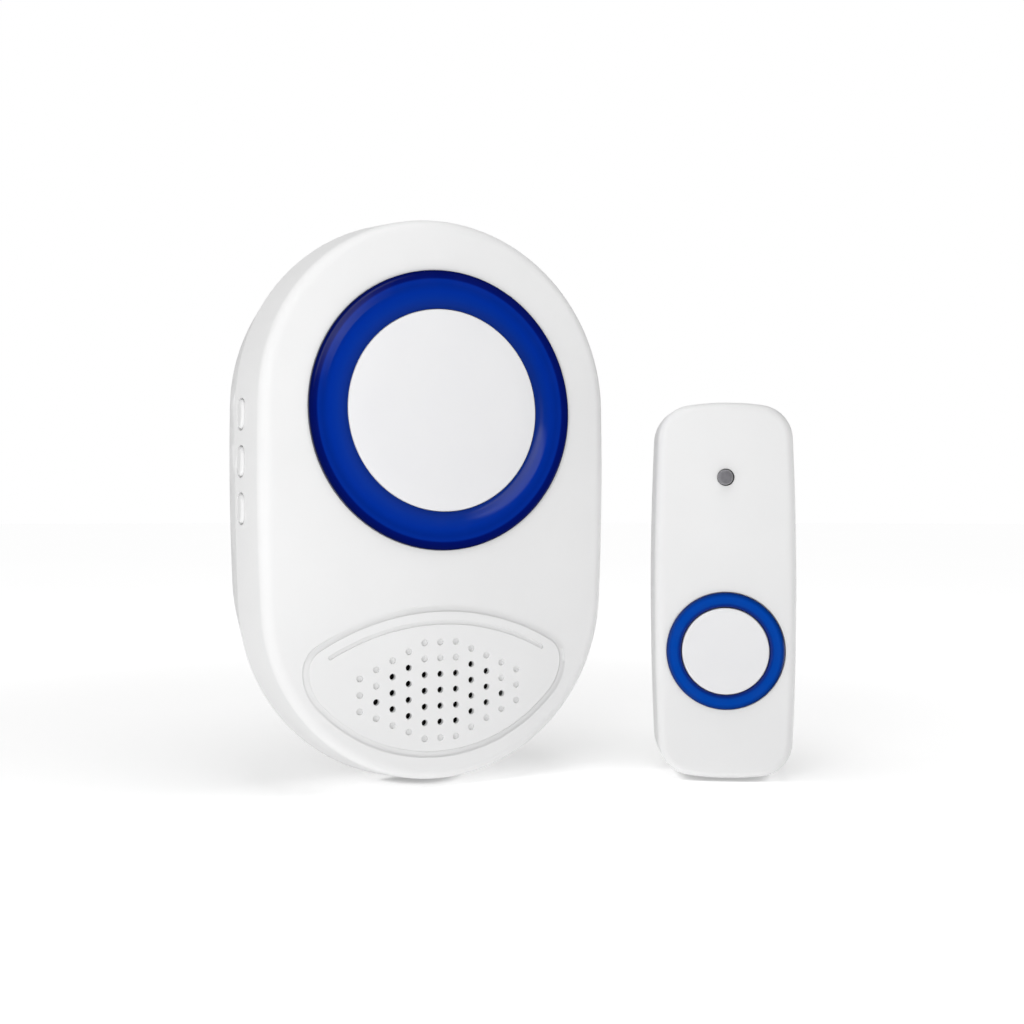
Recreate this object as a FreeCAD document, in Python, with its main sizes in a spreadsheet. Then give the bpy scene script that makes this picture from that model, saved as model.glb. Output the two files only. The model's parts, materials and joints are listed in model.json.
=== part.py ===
import FreeCAD, Part
import math
import os
import Sketcher
from FreeCAD import Placement, Rotation, Vector

# Wireless doorbell: a wall-hung battery receiver and a slim push-button transmitter.
# Millimetres, Z up, Y towards the wall. Both units are drawn with their back plane at y = 0
# and their blue ring's axis through the drawing origin, then placed.

doc = FreeCAD.newDocument("wireless_doorbell")

SIZES = [
    # Receiver case
    ("top_radius", 40.3, "outline radius round the top"),
    ("bottom_radius", 39.8, "outline radius round the bottom"),
    ("top_rise", 1.2, "centre of the top radius above the ring axis"),
    ("bottom_drop", 38.7, "centre of the bottom radius below the ring axis"),
    ("side_radius", 586, "radius of the slightly bulged sides"),
    ("front_depth", 13.4, "front shell, parting plane to face"),
    ("rear_depth", 8.4, "rear shell, back plane to parting plane"),
    ("front_draft", 8.5, "slope of the front shell's side wall in degrees"),
    ("edge_round", 2.6, "rounding of the front edge"),
    ("rear_inset", 0.6, "how much the outline shrinks towards the back"),
    ("rear_top_lean", 0.9, "extra shrink at the top"),
    ("rear_bottom_lean", 5.0, "extra shrink at the bottom"),
    ("rear_bevel", 0.8, "bevel of the back edge"),
    ("case_wall", 2.0, "wall of both shells"),
    ("lap_height", 1.2, "half-lap joint between the shells"),
    ("fit_gap", 0.1, "gap between fixed parts that fit together"),
    ("slide_gap", 0.15, "gap round a part that slides"),
    ("guard_gap", 0.3, "gap where a moving part must stay clear"),
    # Blue ring and disc
    ("ring_radius", 29.0, "blue ring outside"),
    ("ring_seat", 1.0, "depth of the seat under the ring's flange"),
    ("ring_skirt", 27.3, "outside of the ring's skirt"),
    ("skirt_inside", 22.6, "inside of the ring's skirt"),
    ("skirt_depth", 2.8, "skirt behind the face"),
    ("ring_lip", 0.7, "height of the ring's outer lip above the face"),
    ("lip_width", 1.0, "width of the outer lip"),
    ("cove_rise", 0.25, "height of the ring's cove above the face"),
    ("collar_rise", 0.7, "height of the ring beside the disc"),
    ("collar_width", 1.0, "width of the ring's flat beside the disc"),
    ("disc_radius", 21.0, "white disc"),
    ("disc_rise", 1.0, "disc above the face"),
    ("disc_edge", 0.5, "bevel of the disc's rim"),
    ("disc_seat", 0.9, "disc's underside behind the face"),
    ("disc_ledge", 1.5, "ledge under the disc's rim"),
    # Speaker panel
    ("panel_half", 29.35, "half width of the panel groove"),
    ("panel_shift", 0.8, "panel and speaker left of the ring axis"),
    ("panel_middle", 52.8, "panel tips below the ring axis"),
    ("panel_up", 12.4, "groove above the tips"),
    ("panel_down", 19.2, "groove below the tips"),
    ("panel_tip", 6.0, "radius of the tips' upper side"),
    ("panel_heel", 11.0, "radius of the tips' lower side"),
    ("groove_width", 1.3, "width of the panel groove"),
    ("groove_depth", 0.45, "depth of the panel groove"),
    ("groove_slope", 35, "slope of the groove's walls in degrees"),
    ("brow_width", 1.9, "raised bar under the upper groove"),
    ("brow_groove", 0.8, "groove under the bar"),
    ("brow_depth", 0.3, "depth of the groove under the bar"),
    ("brow_half", 23.6, "half length of the bar"),
    ("hole_radius", 0.66, "speaker holes"),
    ("hole_drop", 58.0, "middle of the hole pattern below the ring axis"),
    ("hole_column", 3.5, "columns of holes"),
    ("hole_row", 3.3, "holes in a column"),
    ("column_reach", 5, "columns beside the middle one"),
    ("column_limit", 7, "most holes in a column"),
    ("open_half", 14.9, "half width of the oval inside which the holes are open"),
    ("open_tall", 7.4, "its half height"),
    ("open_drop", 59.2, "its middle below the ring axis"),
    ("dimple_depth", 0.5, "depth of the blind dimples"),
    ("grille_radius", 15.0, "thinned wall behind the holes"),
    ("grille_depth", 0.9, "how much the wall is thinned"),
    # Receiver bosses and board
    ("boss_radius", 3.0, "screw bosses in the front shell"),
    ("well_radius", 3.8, "screw wells in the rear shell"),
    ("boss_top", 24.3, "top bosses beside and above the ring axis"),
    ("boss_side", 28.5, "bottom bosses beside the ring axis"),
    ("boss_drop", 51.0, "bottom bosses below the ring axis"),
    ("screw_radius", 1.35, "shank of the case screws"),
    ("screw_grip", 10.5, "shank length of the case screws"),
    ("screw_head", 2.7, "head radius of the case screws"),
    ("head_height", 1.8, "head height of the case screws"),
    ("pilot_room", 1.0, "pilot holes beyond the screws' tips"),
    ("well_depth", 5.0, "screw head seat in front of the back plane"),
    ("board_radius", 31.0, "rounded top of the main board"),
    ("board_drop", 34.0, "lower edge of the main board below the ring axis"),
    ("board_thick", 1.6, "main board"),
    ("board_set", 4.8, "main board behind the face"),
    ("post_radius", 2.4, "posts under the main board"),
    ("post_side", 27.0, "posts beside the ring axis"),
    ("post_drop", 30.0, "posts below the ring axis"),
    ("small_screw", 0.9, "shank of the board screws"),
    ("small_grip", 4.0, "shank length of the board screws"),
    ("small_head", 1.8, "head radius of the board screws"),
    ("small_height", 1.1, "head height of the board screws"),
    ("lamp_size", 2.8, "light chips"),
    ("lamp_height", 1.0, "light chips"),
    ("lamp_circle", 24.95, "radius of the circle of light chips"),
    ("lamp_count", 8, "light chips"),
    ("reflector_wall", 0.7, "walls of the reflector"),
    # Side buttons
    ("button_pitch", 9.5, "side buttons"),
    ("button_drop", 10.9, "middle side button below the ring axis"),
    ("button_set", 10.2, "side buttons behind the face"),
    ("button_length", 6.3, "side buttons"),
    ("button_radius", 1.9, "half width of the side buttons"),
    ("button_proud", 0.6, "side buttons outside the wall"),
    ("button_bevel", 0.35, "bevel of the side buttons' rims"),
    ("button_travel", 0.6, "side buttons"),
    ("flange_edge", 0.9, "flange beyond the button"),
    ("flange_thick", 1.0, "flange of a side button"),
    ("stem_radius", 1.5, "stem of a side button"),
    ("plunger_radius", 1.6, "switch plungers"),
    ("plunger_reach", 0.9, "plunger outside the switch body"),
    ("plunger_grip", 0.5, "plunger inside the switch body"),
    ("switch_size", 6.2, "switch bodies"),
    ("switch_thick", 3.4, "switch bodies along the plunger"),
    ("switch_height", 6.4, "switch bodies above the board"),
    ("switch_overhang", 1.8, "switch bodies beyond the board's edge"),
    # Speaker
    ("speaker_room", 1.8, "speaker frame to the case wall below it"),
    ("speaker_radius", 16.0, "speaker frame"),
    ("speaker_rib", 1.2, "rib round the speaker"),
    ("rib_height", 4.0, "rib round the speaker"),
    ("gasket_thick", 0.5, "speaker gasket"),
    ("gasket_inside", 14.2, "speaker gasket"),
    ("rim_thick", 0.7, "rim of the speaker frame"),
    ("cup_radius", 9.6, "bottom of the speaker frame"),
    ("cup_depth", 4.9, "speaker frame"),
    ("sheet_metal", 0.6, "pressed speaker frame"),
    ("magnet_radius", 7.5, "speaker magnet"),
    ("magnet_height", 3.4, "speaker magnet"),
    ("magnet_step", 1.0, "height of the step at the magnet's back"),
    ("magnet_inset", 0.8, "width of the step at the magnet's back"),
    ("frame_lip", 1.2, "speaker frame inside the gasket"),
    ("frame_draw", 0.4, "frame wall inside the gasket"),
    ("cone_thick", 0.35, "speaker cone"),
    ("cone_edge", 1.5, "flat edge of the cone"),
    ("throat_radius", 4.6, "foot of the cone"),
    ("throat_depth", 2.5, "foot of the cone behind the speaker's face"),
    ("cap_shoulder", 3.0, "radius of the dust cap's shoulder"),
    ("shoulder_depth", 1.6, "shoulder behind the speaker's face"),
    ("crown_depth", 1.2, "dust cap's crown behind the speaker's face"),
    # Battery bay
    ("cell_radius", 5.25, "AAA cell"),
    ("cell_length", 44.5, "AAA cell with its nub"),
    ("nub_radius", 1.9, "AAA cell"),
    ("nub_length", 0.8, "AAA cell"),
    ("cell_pitch", 10.9, "cells side by side"),
    ("bay_middle", 6.0, "bay centre below the ring axis"),
    ("spring_room", 5.2, "room for a contact spring"),
    ("bay_wall", 1.2, "walls of the bay"),
    ("bay_room", 0.15, "room in front of and beside the cells"),
    ("door_thick", 1.6, "battery door"),
    ("door_edge", 2.25, "door beyond the bay"),
    ("door_gap", 0.3, "gap round the door"),
    ("door_bed", 0.2, "gap under the door"),
    ("rim_edge", 2.0, "rim round the door recess"),
    ("rim_depth", 3.8, "rim round the door recess"),
    ("tab_width", 5.0, "door tabs"),
    ("tab_spread", 18.0, "door tabs beside the middle"),
    ("tab_length", 1.5, "door tabs"),
    ("tab_thick", 1.0, "door tabs"),
    ("tab_skin", 0.8, "skin over the door tabs"),
    ("latch_width", 10.0, "latch tongue"),
    ("latch_length", 8.0, "slits beside the latch tongue"),
    ("latch_slit", 0.8, "slits beside the latch tongue"),
    ("latch_nose", 1.0, "nose beyond the door's edge"),
    ("grip_count", 3, "finger grooves on the latch tongue"),
    ("grip_start", 2.0, "first finger groove below the door's edge"),
    ("grip_pitch", 1.6, "finger grooves"),
    ("grip_width", 0.8, "finger grooves, and their clearance at both ends"),
    ("grip_depth", 0.4, "finger grooves"),
    ("plate_size", 8.0, "contact plates"),
    ("plate_thick", 0.4, "contact plates"),
    ("wire_radius", 0.3, "contact springs"),
    ("spring_radius", 3.2, "contact springs at the plate"),
    ("spring_tip", 2.2, "contact springs at the cell"),
    ("spring_turns", 3, "contact springs"),
    # Keyhole
    ("keyhole_rise", 24.0, "keyhole above the ring axis"),
    ("keyhole_radius", 4.2, "round part of the keyhole"),
    ("keyhole_slot", 2.2, "half width of the keyhole's slot"),
    ("keyhole_lift", 7.0, "slot above the round part"),
    # Chips and coils
    ("coil_radius", 2.4, "radio coils"),
    ("coil_pitch", 1.5, "radio coils"),
    ("coil_turns", 3, "radio coils"),
    ("coil_wire", 0.35, "radio coils"),
    ("coil_stand", 1.2, "radio coils above their board"),
    ("wire_sides", 6, "flats round a drawn wire"),
    ("chip_width", 10.0, "main board's melody chip and radio can"),
    ("chip_length", 6.0, "main board's melody chip and radio can"),
    ("chip_height", 1.8, "main board's melody chip"),
    ("can_height", 2.4, "main board's radio can"),
    ("chip_apart", 6.0, "space between them"),
    ("row_rise", 4.5, "row of chips above the board's lower edge"),
    ("capacitor_radius", 2.5, "capacitor"),
    ("capacitor_height", 7.0, "capacitor"),
    ("coil_side", 12.0, "main coil beside the ring axis"),
    ("coil_rise", 20.0, "main coil above the ring axis"),
    # Push button
    ("push_width", 31.0, "push button"),
    ("push_height", 81.3, "push button"),
    ("push_depth", 14.4, "push button"),
    ("push_offset", 12.75, "middle of the case above its ring axis"),
    ("push_corner", 8.0, "outline corners"),
    ("push_side", 700, "radius of the bulged sides"),
    ("push_end", 55, "radius of the bulged ends"),
    ("push_wall", 1.5, "wall of the push button"),
    ("push_draft", 2.5, "slope of its side wall in degrees"),
    ("push_round", 2.0, "rounding of its front edge"),
    ("plate_depth", 1.8, "back plate"),
    ("plate_bevel", 0.6, "bevel of the back plate"),
    ("tongue_height", 2.0, "tongue of the back plate"),
    ("tongue_width", 1.0, "tongue of the back plate"),
    ("plate_hole", 1.8, "screw holes in the back plate"),
    ("plate_spacing", 53.0, "screw holes in the back plate"),
    ("pad_width", 18.0, "adhesive pad"),
    ("pad_height", 40.0, "adhesive pad"),
    ("pad_thick", 0.8, "adhesive pad"),
    ("push_ring", 12.45, "push button's ring outside"),
    ("push_bore", 9.3, "push button's ring inside"),
    ("push_lip", 0.45, "ring above the face"),
    ("push_seat", 1.0, "ring seat"),
    ("push_skirt", 11.3, "skirt of the ring"),
    ("push_guide", 2.2, "skirt behind the face"),
    ("cap_rise", 0.8, "cap above the face"),
    ("cap_bevel", 0.4, "bevel of the cap's rim"),
    ("cap_flange", 10.6, "flange of the cap"),
    ("cap_thick", 1.0, "flange of the cap"),
    ("cap_stem", 2.5, "stem of the cap"),
    ("push_travel", 0.6, "push button's cap"),
    ("push_board", 6.0, "board front in front of the back plane"),
    ("push_sheet", 1.0, "board thickness"),
    ("board_half", 12.4, "half width of the push button's board"),
    ("board_foot", 14.5, "its lower edge below the ring axis"),
    ("board_head", 45.0, "its upper edge above the ring axis"),
    ("post_inset", 2.6, "its screws inside its edges"),
    ("push_chip", 4.6, "its chips"),
    ("push_chip_height", 1.6, "its chips"),
    ("push_chip_gap", 2.3, "space between its chips"),
    ("push_post", 1.9, "posts under its corners"),
    ("rib_half", 4.1, "half width of the ribs behind its cell's contacts"),
    ("rib_thick", 1.0, "ribs behind its cell's contacts"),
    ("rib_foot", 4.0, "ribs' ends in front of the back plane"),
    ("push_coil_rise", 15.5, "its coil above the ring axis"),
    ("push_coil", 1.8, "radius of its coil"),
    ("push_switch", 3.5, "switch height"),
    ("cap_plunger", 1.75, "plunger of the push switch"),
    ("led_radius", 1.5, "indicator body"),
    ("led_hole", 1.72, "indicator dome"),
    ("led_rise", 36.9, "indicator above the ring axis"),
    ("led_dome", 1.0, "indicator dome above the face"),
    ("dome_shoulder", 0.75, "shoulder of the dome above the face"),
    ("battery_radius", 5.15, "23A cell"),
    ("battery_length", 28.9, "23A cell with its nub"),
    ("battery_side", 7.9, "23A cell beside the middle"),
    ("battery_start", 14.4, "23A cell above the ring axis"),
    ("battery_set", 7.25, "23A cell in front of the back plane"),
    ("battery_spring", 4.7, "room for its spring"),
    ("battery_plate", 7.0, "its contact plates"),
    ("battery_nub", 2.6, "radius of its nub"),
    ("battery_step", 1.2, "length of its nub"),
    # Where the push button stands
    ("push_x", 63.4, "push button's back beside the receiver's middle"),
    ("push_y", 30.3, "push button's back in front of the receiver's back"),
    ("push_turn", 30.7, "turn of the push button in degrees"),
]

sheet = doc.addObject("Spreadsheet::Sheet", "sizes")
for row, (alias, amount, meaning) in enumerate(SIZES, start=1):
    sheet.set("A%d" % row, str(amount))
    sheet.set("B%d" % row, meaning)
    sheet.setAlias("A%d" % row, alias)
doc.recompute()


class Size:
    """A size as the expression that binds it and as its number."""

    def __init__(self, text, number):
        self.text = text
        self.number = float(number)

    def join(self, mark, other, number):
        return Size("(%s %s %s)" % (self.text, mark, other.text), number)

    def __add__(self, other):
        other = as_size(other)
        return self.join("+", other, self.number + other.number)

    def __sub__(self, other):
        other = as_size(other)
        return self.join("-", other, self.number - other.number)

    def __mul__(self, other):
        other = as_size(other)
        return self.join("*", other, self.number * other.number)

    def __truediv__(self, other):
        other = as_size(other)
        return self.join("/", other, self.number / other.number)

    def __neg__(self):
        return Size("(0 - %s)" % self.text, -self.number)


def as_size(amount):
    if isinstance(amount, Size):
        return amount
    return Size(str(amount), amount)


def cell(alias):
    return Size("sizes." + alias, sheet.get(alias))


def tangent(angle):
    """Slope of an angle given in degrees."""
    return Size("tan(%s * 1 deg)" % angle.text, math.tan(math.radians(angle.number)))


def root(amount):
    return Size("sqrt(%s)" % amount.text, math.sqrt(amount.number))


S = {alias: cell(alias) for alias, amount, meaning in SIZES}
ZERO = as_size(0)
nodes = []


# Drawing helpers

def bind(thing, prop, size):
    thing.setExpression(prop, as_size(size).text)


def new_body(label):
    body = doc.addObject("PartDesign::Body", label)
    body.Label = label
    nodes.append(body)
    return body


def new_sketch(body, name, role="XZ_Plane", lift=None):
    plane = next(item for item in body.Origin.OriginFeatures if item.Role == role)
    sketch = body.newObject("Sketcher::SketchObject", body.Name + "_" + name)
    sketch.AttachmentSupport = (plane, [""])
    sketch.MapMode = "FlatFace"
    if lift is not None:
        bind(sketch, "AttachmentOffset.Base.z", lift)
    return sketch


def drive(sketch, constraint, size):
    index = sketch.addConstraint(constraint)
    bind(sketch, "Constraints[%d]" % index, size)


def put_point(sketch, shape, point, x, z):
    """Tie a point of a drawn shape to its distances from the sketch's origin."""
    drive(sketch, Sketcher.Constraint("DistanceX", -1, 1, shape, point, x.number), x)
    drive(sketch, Sketcher.Constraint("DistanceY", -1, 1, shape, point, z.number), z)


def draw_circle(sketch, radius, x=ZERO, z=ZERO):
    x, z = as_size(x), as_size(z)
    middle = Vector(x.number, z.number, 0)
    shape = sketch.addGeometry(Part.Circle(middle, Vector(0, 0, 1), radius.number), False)
    drive(sketch, Sketcher.Constraint("Radius", shape, radius.number), radius)
    put_point(sketch, shape, 3, x, z)


def draw_polygon(sketch, corners):
    """Closed straight-sided outline; each corner is a pair of sizes."""
    corners = [(as_size(x), as_size(z)) for x, z in corners]
    spots = [Vector(x.number, z.number, 0) for x, z in corners]
    sides = []
    for start, end in zip(spots, spots[1:] + spots[:1]):
        sides.append(sketch.addGeometry(Part.LineSegment(start, end), False))
    for side, following in zip(sides, sides[1:] + sides[:1]):
        sketch.addConstraint(Sketcher.Constraint("Coincident", side, 2, following, 1))
    for side, (x, z) in zip(sides, corners):
        put_point(sketch, side, 1, x, z)


def draw_rectangle(sketch, x0, x1, z0, z1):
    draw_polygon(sketch, [(x0, z0), (x1, z0), (x1, z1), (x0, z1)])


def draw_pill(sketch, half_length, radius, x, z):
    """Upright slot shape; half_length runs from the middle to the end of the round."""
    x, z = as_size(x), as_size(z)
    reach = half_length - radius
    up = Vector(x.number, z.number + reach.number, 0)
    down = Vector(x.number, z.number - reach.number, 0)
    side = Vector(radius.number, 0, 0)
    turn = Vector(0, 0, 1)
    top = sketch.addGeometry(Part.ArcOfCircle(Part.Circle(up, turn, radius.number), 0, math.pi), False)
    left = sketch.addGeometry(Part.LineSegment(up - side, down - side), False)
    bottom = sketch.addGeometry(
        Part.ArcOfCircle(Part.Circle(down, turn, radius.number), math.pi, 2 * math.pi), False)
    right = sketch.addGeometry(Part.LineSegment(down + side, up + side), False)
    loop = [(top, 2, left, 1), (left, 2, bottom, 1), (bottom, 2, right, 1), (right, 2, top, 1)]
    for one, end, other, start in loop:
        sketch.addConstraint(Sketcher.Constraint("Tangent", one, end, other, start))
    put_point(sketch, top, 3, x, z + reach)
    drive(sketch, Sketcher.Constraint("DistanceY", -1, 1, bottom, 3, down.y), z - reach)
    drive(sketch, Sketcher.Constraint("Radius", top, radius.number), radius)


def draw_arcs(sketch, arcs):
    """Closed loop of tangent arcs, drawn anticlockwise.

    Each arc is (middle, radius, x, z): where its middle lies now, its radius, and the sizes that
    place its centre, None for one that the tangents place.
    """
    centres = [middle for middle, radius, x, z in arcs]
    radii = [radius.number for middle, radius, x, z in arcs]
    joints = []
    for index in range(len(arcs)):
        near, far = centres[index], centres[(index + 1) % len(arcs)]
        step = radii[index] - radii[(index + 1) % len(arcs)]
        away = (far - near) * (1 if step > 0 else -1)
        away.normalize()
        joints.append(near + away * radii[index])
    shapes = []
    for index, (middle, radius, x, z) in enumerate(arcs):
        start = joints[index - 1] - middle
        end = joints[index] - middle
        low = math.atan2(start.y, start.x)
        high = math.atan2(end.y, end.x)
        if high < low:
            high += 2 * math.pi
        circle = Part.Circle(middle, Vector(0, 0, 1), radius.number)
        shapes.append(sketch.addGeometry(Part.ArcOfCircle(circle, low, high), False))
    for index, shape in enumerate(shapes):
        following = shapes[(index + 1) % len(shapes)]
        sketch.addConstraint(Sketcher.Constraint("Tangent", shape, 2, following, 1))
    for shape, (middle, radius, x, z) in zip(shapes, arcs):
        drive(sketch, Sketcher.Constraint("Radius", shape, radius.number), radius)
        if x is not None:
            drive(sketch, Sketcher.Constraint("DistanceX", -1, 1, shape, 3, x.number), x)
        if z is not None:
            drive(sketch, Sketcher.Constraint("DistanceY", -1, 1, shape, 3, z.number), z)


def draw_egg(sketch, inset, top_lean=ZERO, bottom_lean=ZERO):
    """The receiver's outline, drawn in by an inset: four tangent arcs."""
    inset = as_size(inset)
    top, bottom, side = (S[name] - inset for name in ("top_radius", "bottom_radius", "side_radius"))
    rise = S["top_rise"] - top_lean
    drop = -(S["bottom_drop"] - bottom_lean)
    near = side.number - top.number
    far = side.number - bottom.number
    height = (far ** 2 - near ** 2 + rise.number ** 2 - drop.number ** 2) / (2 * (rise.number - drop.number))
    across = math.sqrt(near ** 2 - (rise.number - height) ** 2)
    draw_arcs(sketch, [
        (Vector(0, rise.number, 0), top, ZERO, rise),
        (Vector(across, height, 0), side, None, None),
        (Vector(0, drop.number, 0), bottom, ZERO, drop),
        (Vector(-across, height, 0), side, None, None),
    ])


def draw_panel(sketch, inset):
    """The eye-shaped speaker panel: two long arcs joined by tips that are rounder below."""
    inset = as_size(inset)
    tip, heel = S["panel_tip"] - inset, S["panel_heel"] - inset
    tip_x, heel_x = S["panel_half"] - S["panel_tip"], S["panel_half"] - S["panel_heel"]
    shift, low = S["panel_shift"], -S["panel_middle"]
    upper = panel_arc(S["panel_up"], S["panel_tip"])
    lower = panel_arc(S["panel_down"], S["panel_heel"])
    middle = -shift.number
    upper_z = low.number + S["panel_up"].number - upper.number
    lower_z = low.number - S["panel_down"].number + lower.number
    draw_arcs(sketch, [
        (Vector(middle + heel_x.number, low.number, 0), heel, None, low),
        (Vector(middle + tip_x.number, low.number, 0), tip, tip_x - shift, low),
        (Vector(middle, upper_z, 0), upper - inset, None, None),
        (Vector(middle - tip_x.number, low.number, 0), tip, -tip_x - shift, low),
        (Vector(middle - heel_x.number, low.number, 0), heel, None, low),
        (Vector(middle, lower_z, 0), lower - inset, None, None),
    ])


def panel_arc(height, tip):
    """Radius of the arc that touches both tips and rises by height above their middles."""
    side = S["panel_half"] - tip
    return (side * side + height * height - tip * tip) / ((height - tip) * 2)


def draw_lozenge(sketch, inset):
    """The push button's outline: bulged sides and ends with round corners."""
    inset = as_size(inset)
    half = S["push_width"] / 2
    tall = S["push_height"] / 2
    corner = S["push_corner"].number
    side_x = S["push_side"] - half
    end_z = S["push_end"] - tall
    a, b = half.number - corner, tall.number - corner
    for step in range(40):
        a = math.sqrt((S["push_side"].number - corner) ** 2 - b ** 2) - side_x.number
        b = math.sqrt((S["push_end"].number - corner) ** 2 - a ** 2) - end_z.number
    lift = S["push_offset"]
    middle = lift.number
    side = S["push_side"] - inset
    end = S["push_end"] - inset
    round_corner = S["push_corner"] - inset
    arcs = [
        (Vector(-side_x.number, middle, 0), side, -side_x, lift),
        (Vector(a, middle + b, 0), round_corner, None, None),
        (Vector(0, middle - end_z.number, 0), end, ZERO, lift - end_z),
        (Vector(-a, middle + b, 0), round_corner, None, None),
        (Vector(side_x.number, middle, 0), side, side_x, lift),
        (Vector(-a, middle - b, 0), round_corner, None, None),
        (Vector(0, middle + end_z.number, 0), end, ZERO, lift + end_z),
        (Vector(a, middle - b, 0), round_corner, None, None),
    ]
    draw_arcs(sketch, arcs)


# Feature helpers

def raise_pad(body, sketch, length, to_front=True, slope=None):
    """Pad a sketch; to_front grows it along the sketch's own normal."""
    pad = body.newObject("PartDesign::Pad", sketch.Name + "_pad")
    pad.Profile = sketch
    bind(pad, "Length", length)
    pad.Reversed = not to_front
    if slope is not None:
        bind(pad, "TaperAngle", -slope)
    doc.recompute()
    return pad


def sink_pocket(body, sketch, length=None, to_front=True, slope=None):
    """Cut a sketch away; with no length it goes through all. The volume has to fall."""
    before = body.Shape.Volume
    pocket = body.newObject("PartDesign::Pocket", sketch.Name + "_cut")
    pocket.Profile = sketch
    pocket.Reversed = to_front
    if length is None:
        pocket.Type = "ThroughAll"
    else:
        bind(pocket, "Length", length)
    if slope is not None:
        bind(pocket, "TaperAngle", -slope)
    doc.recompute()
    if body.Shape.Volume > before - 1e-3:
        raise ValueError(sketch.Name + " cuts nothing")
    return pocket


def spin(body, sketch, axis="V_Axis"):
    turned = body.newObject("PartDesign::Revolution", sketch.Name + "_turned")
    turned.Profile = sketch
    turned.ReferenceAxis = (sketch, [axis])
    turned.Angle = 360
    doc.recompute()
    return turned


def round_edges(body, base, radius, chosen):
    """Fillet the edges of the base feature for which chosen(edge) is true."""
    names = ["Edge%d" % (index + 1) for index, edge in enumerate(base.Shape.Edges) if chosen(edge)]
    fillet = body.newObject("PartDesign::Fillet", base.Name + "_round")
    fillet.Base = (base, names)
    bind(fillet, "Radius", radius)
    doc.recompute()
    return fillet


def bevel_edges(body, base, size, chosen):
    """Chamfer the edges of the base feature for which chosen(edge) is true."""
    names = ["Edge%d" % (index + 1) for index, edge in enumerate(base.Shape.Edges) if chosen(edge)]
    bevel = body.newObject("PartDesign::Chamfer", base.Name + "_bevel")
    bevel.Base = (base, names)
    bind(bevel, "Size", size)
    doc.recompute()
    return bevel


def on_plane(y):
    """A test for edges that lie in the plane at this y."""
    return lambda edge: abs(edge.BoundBox.YMin - y) < 1e-4 and abs(edge.BoundBox.YMax - y) < 1e-4


def ring_edge(y, radius):
    """A test for the circle of this radius at this y, seen on the turning axis Y."""
    def chosen(edge):
        box = edge.BoundBox
        return abs(box.YMin - y) < 1e-4 and abs(box.YMax - y) < 1e-4 and abs(box.XMax - radius) < 1e-3
    return chosen


def turned_part(label, corners, axis="V_Axis", lift=None):
    """A round piece: straight-sided profile in the XY plane, turned about Y or X."""
    body = new_body(label)
    sketch = new_sketch(body, "profile", "XY_Plane", lift)
    draw_polygon(sketch, corners)
    return body, spin(body, sketch, axis)


def make_box(name, x0, x1, y0, y1, z0, z1):
    box = doc.addObject("Part::Box", name)
    for prop, low, high in (("Length", x0, x1), ("Width", y0, y1), ("Height", z0, z1)):
        bind(box, prop, as_size(high) - low)
    for prop, low in (("x", x0), ("y", y0), ("z", z0)):
        bind(box, "Placement.Base." + prop, low)
    return box


def make_rod(name, radius, length, x, y, z, along):
    rod = doc.addObject("Part::Cylinder", name)
    bind(rod, "Radius", radius)
    bind(rod, "Height", length)
    rod.Placement = Placement(Vector(0, 0, 0), Rotation(Vector(0, 0, 1), along))
    for prop, amount in (("x", x), ("y", y), ("z", z)):
        bind(rod, "Placement.Base." + prop, amount)
    return rod


def group(label, pieces):
    """One named piece made of solids that stand side by side."""
    whole = doc.addObject("Part::Compound", label)
    whole.Label = label
    whole.Links = pieces
    nodes.append(whole)
    doc.recompute()
    return whole


def cut_from(label, base, tool):
    whole = doc.addObject("Part::Cut", label)
    whole.Label = label
    whole.Base = base
    whole.Tool = tool
    doc.recompute()
    return whole


def arc_between(start, heading, end):
    """The arc that leaves start along heading and reaches end."""
    chord = end - start
    reach = chord.Length
    along = Vector(chord).normalize()
    aside = heading - along * heading.dot(along)
    lean = math.atan2(aside.Length, heading.dot(along))
    aside.normalize()
    crown = (start + end) * 0.5 + aside * (reach / 2 * math.tan(lean / 2))
    return Part.Arc(start, crown, end).toShape()


def coil_shape(first_radius, last_radius, height, turns, wire):
    """A coil of wire about Z from z = 0; its axis line is a pair of arcs for each quarter turn."""
    steps = int(round(turns * 4))

    def spot(step):
        part = step / steps
        radius = first_radius + (last_radius - first_radius) * part
        angle = step * math.pi / 2
        return Vector(radius * math.cos(angle), radius * math.sin(angle), height * part)

    def heading(step):
        near = spot(step - 0.001)
        far = spot(step + 0.001)
        return (far - near).normalize()

    edges = []
    for step in range(steps):
        start, end = spot(step), spot(step + 1)
        leave, arrive = heading(step), heading(step + 1)
        across = end - start
        total = leave + arrive
        spread = 2 * (1 - leave.dot(arrive))
        pull = across.dot(total)
        reach = (math.sqrt(pull ** 2 + spread * across.dot(across)) - pull) / spread
        middle = (start + end + (leave - arrive) * reach) * 0.5
        bend = (middle - start - leave * reach).normalize()
        edges.append(arc_between(start, leave, middle))
        edges.append(arc_between(middle, bend, end))
    outward = Vector(1, 0, 0)
    upward = heading(0).cross(outward).normalize()
    sides = int(S["wire_sides"].number)
    turns_round = [2 * math.pi * side / sides for side in range(sides)]
    corners = [spot(0) + (outward * math.cos(turn) + upward * math.sin(turn)) * wire for turn in turns_round]
    section = Part.makePolygon(corners + corners[:1])
    return Part.Wire(edges).makePipeShell([section], True, False)


def made_part(label, shapes):
    """A piece whose shape is worked out here from the sheet's sizes."""
    piece = doc.addObject("Part::Feature", label)
    piece.Label = label
    piece.Shape = shapes[0] if len(shapes) == 1 else Part.makeCompound(shapes)
    nodes.append(piece)


# Levels of the receiver, as distances in front of its back plane

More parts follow.
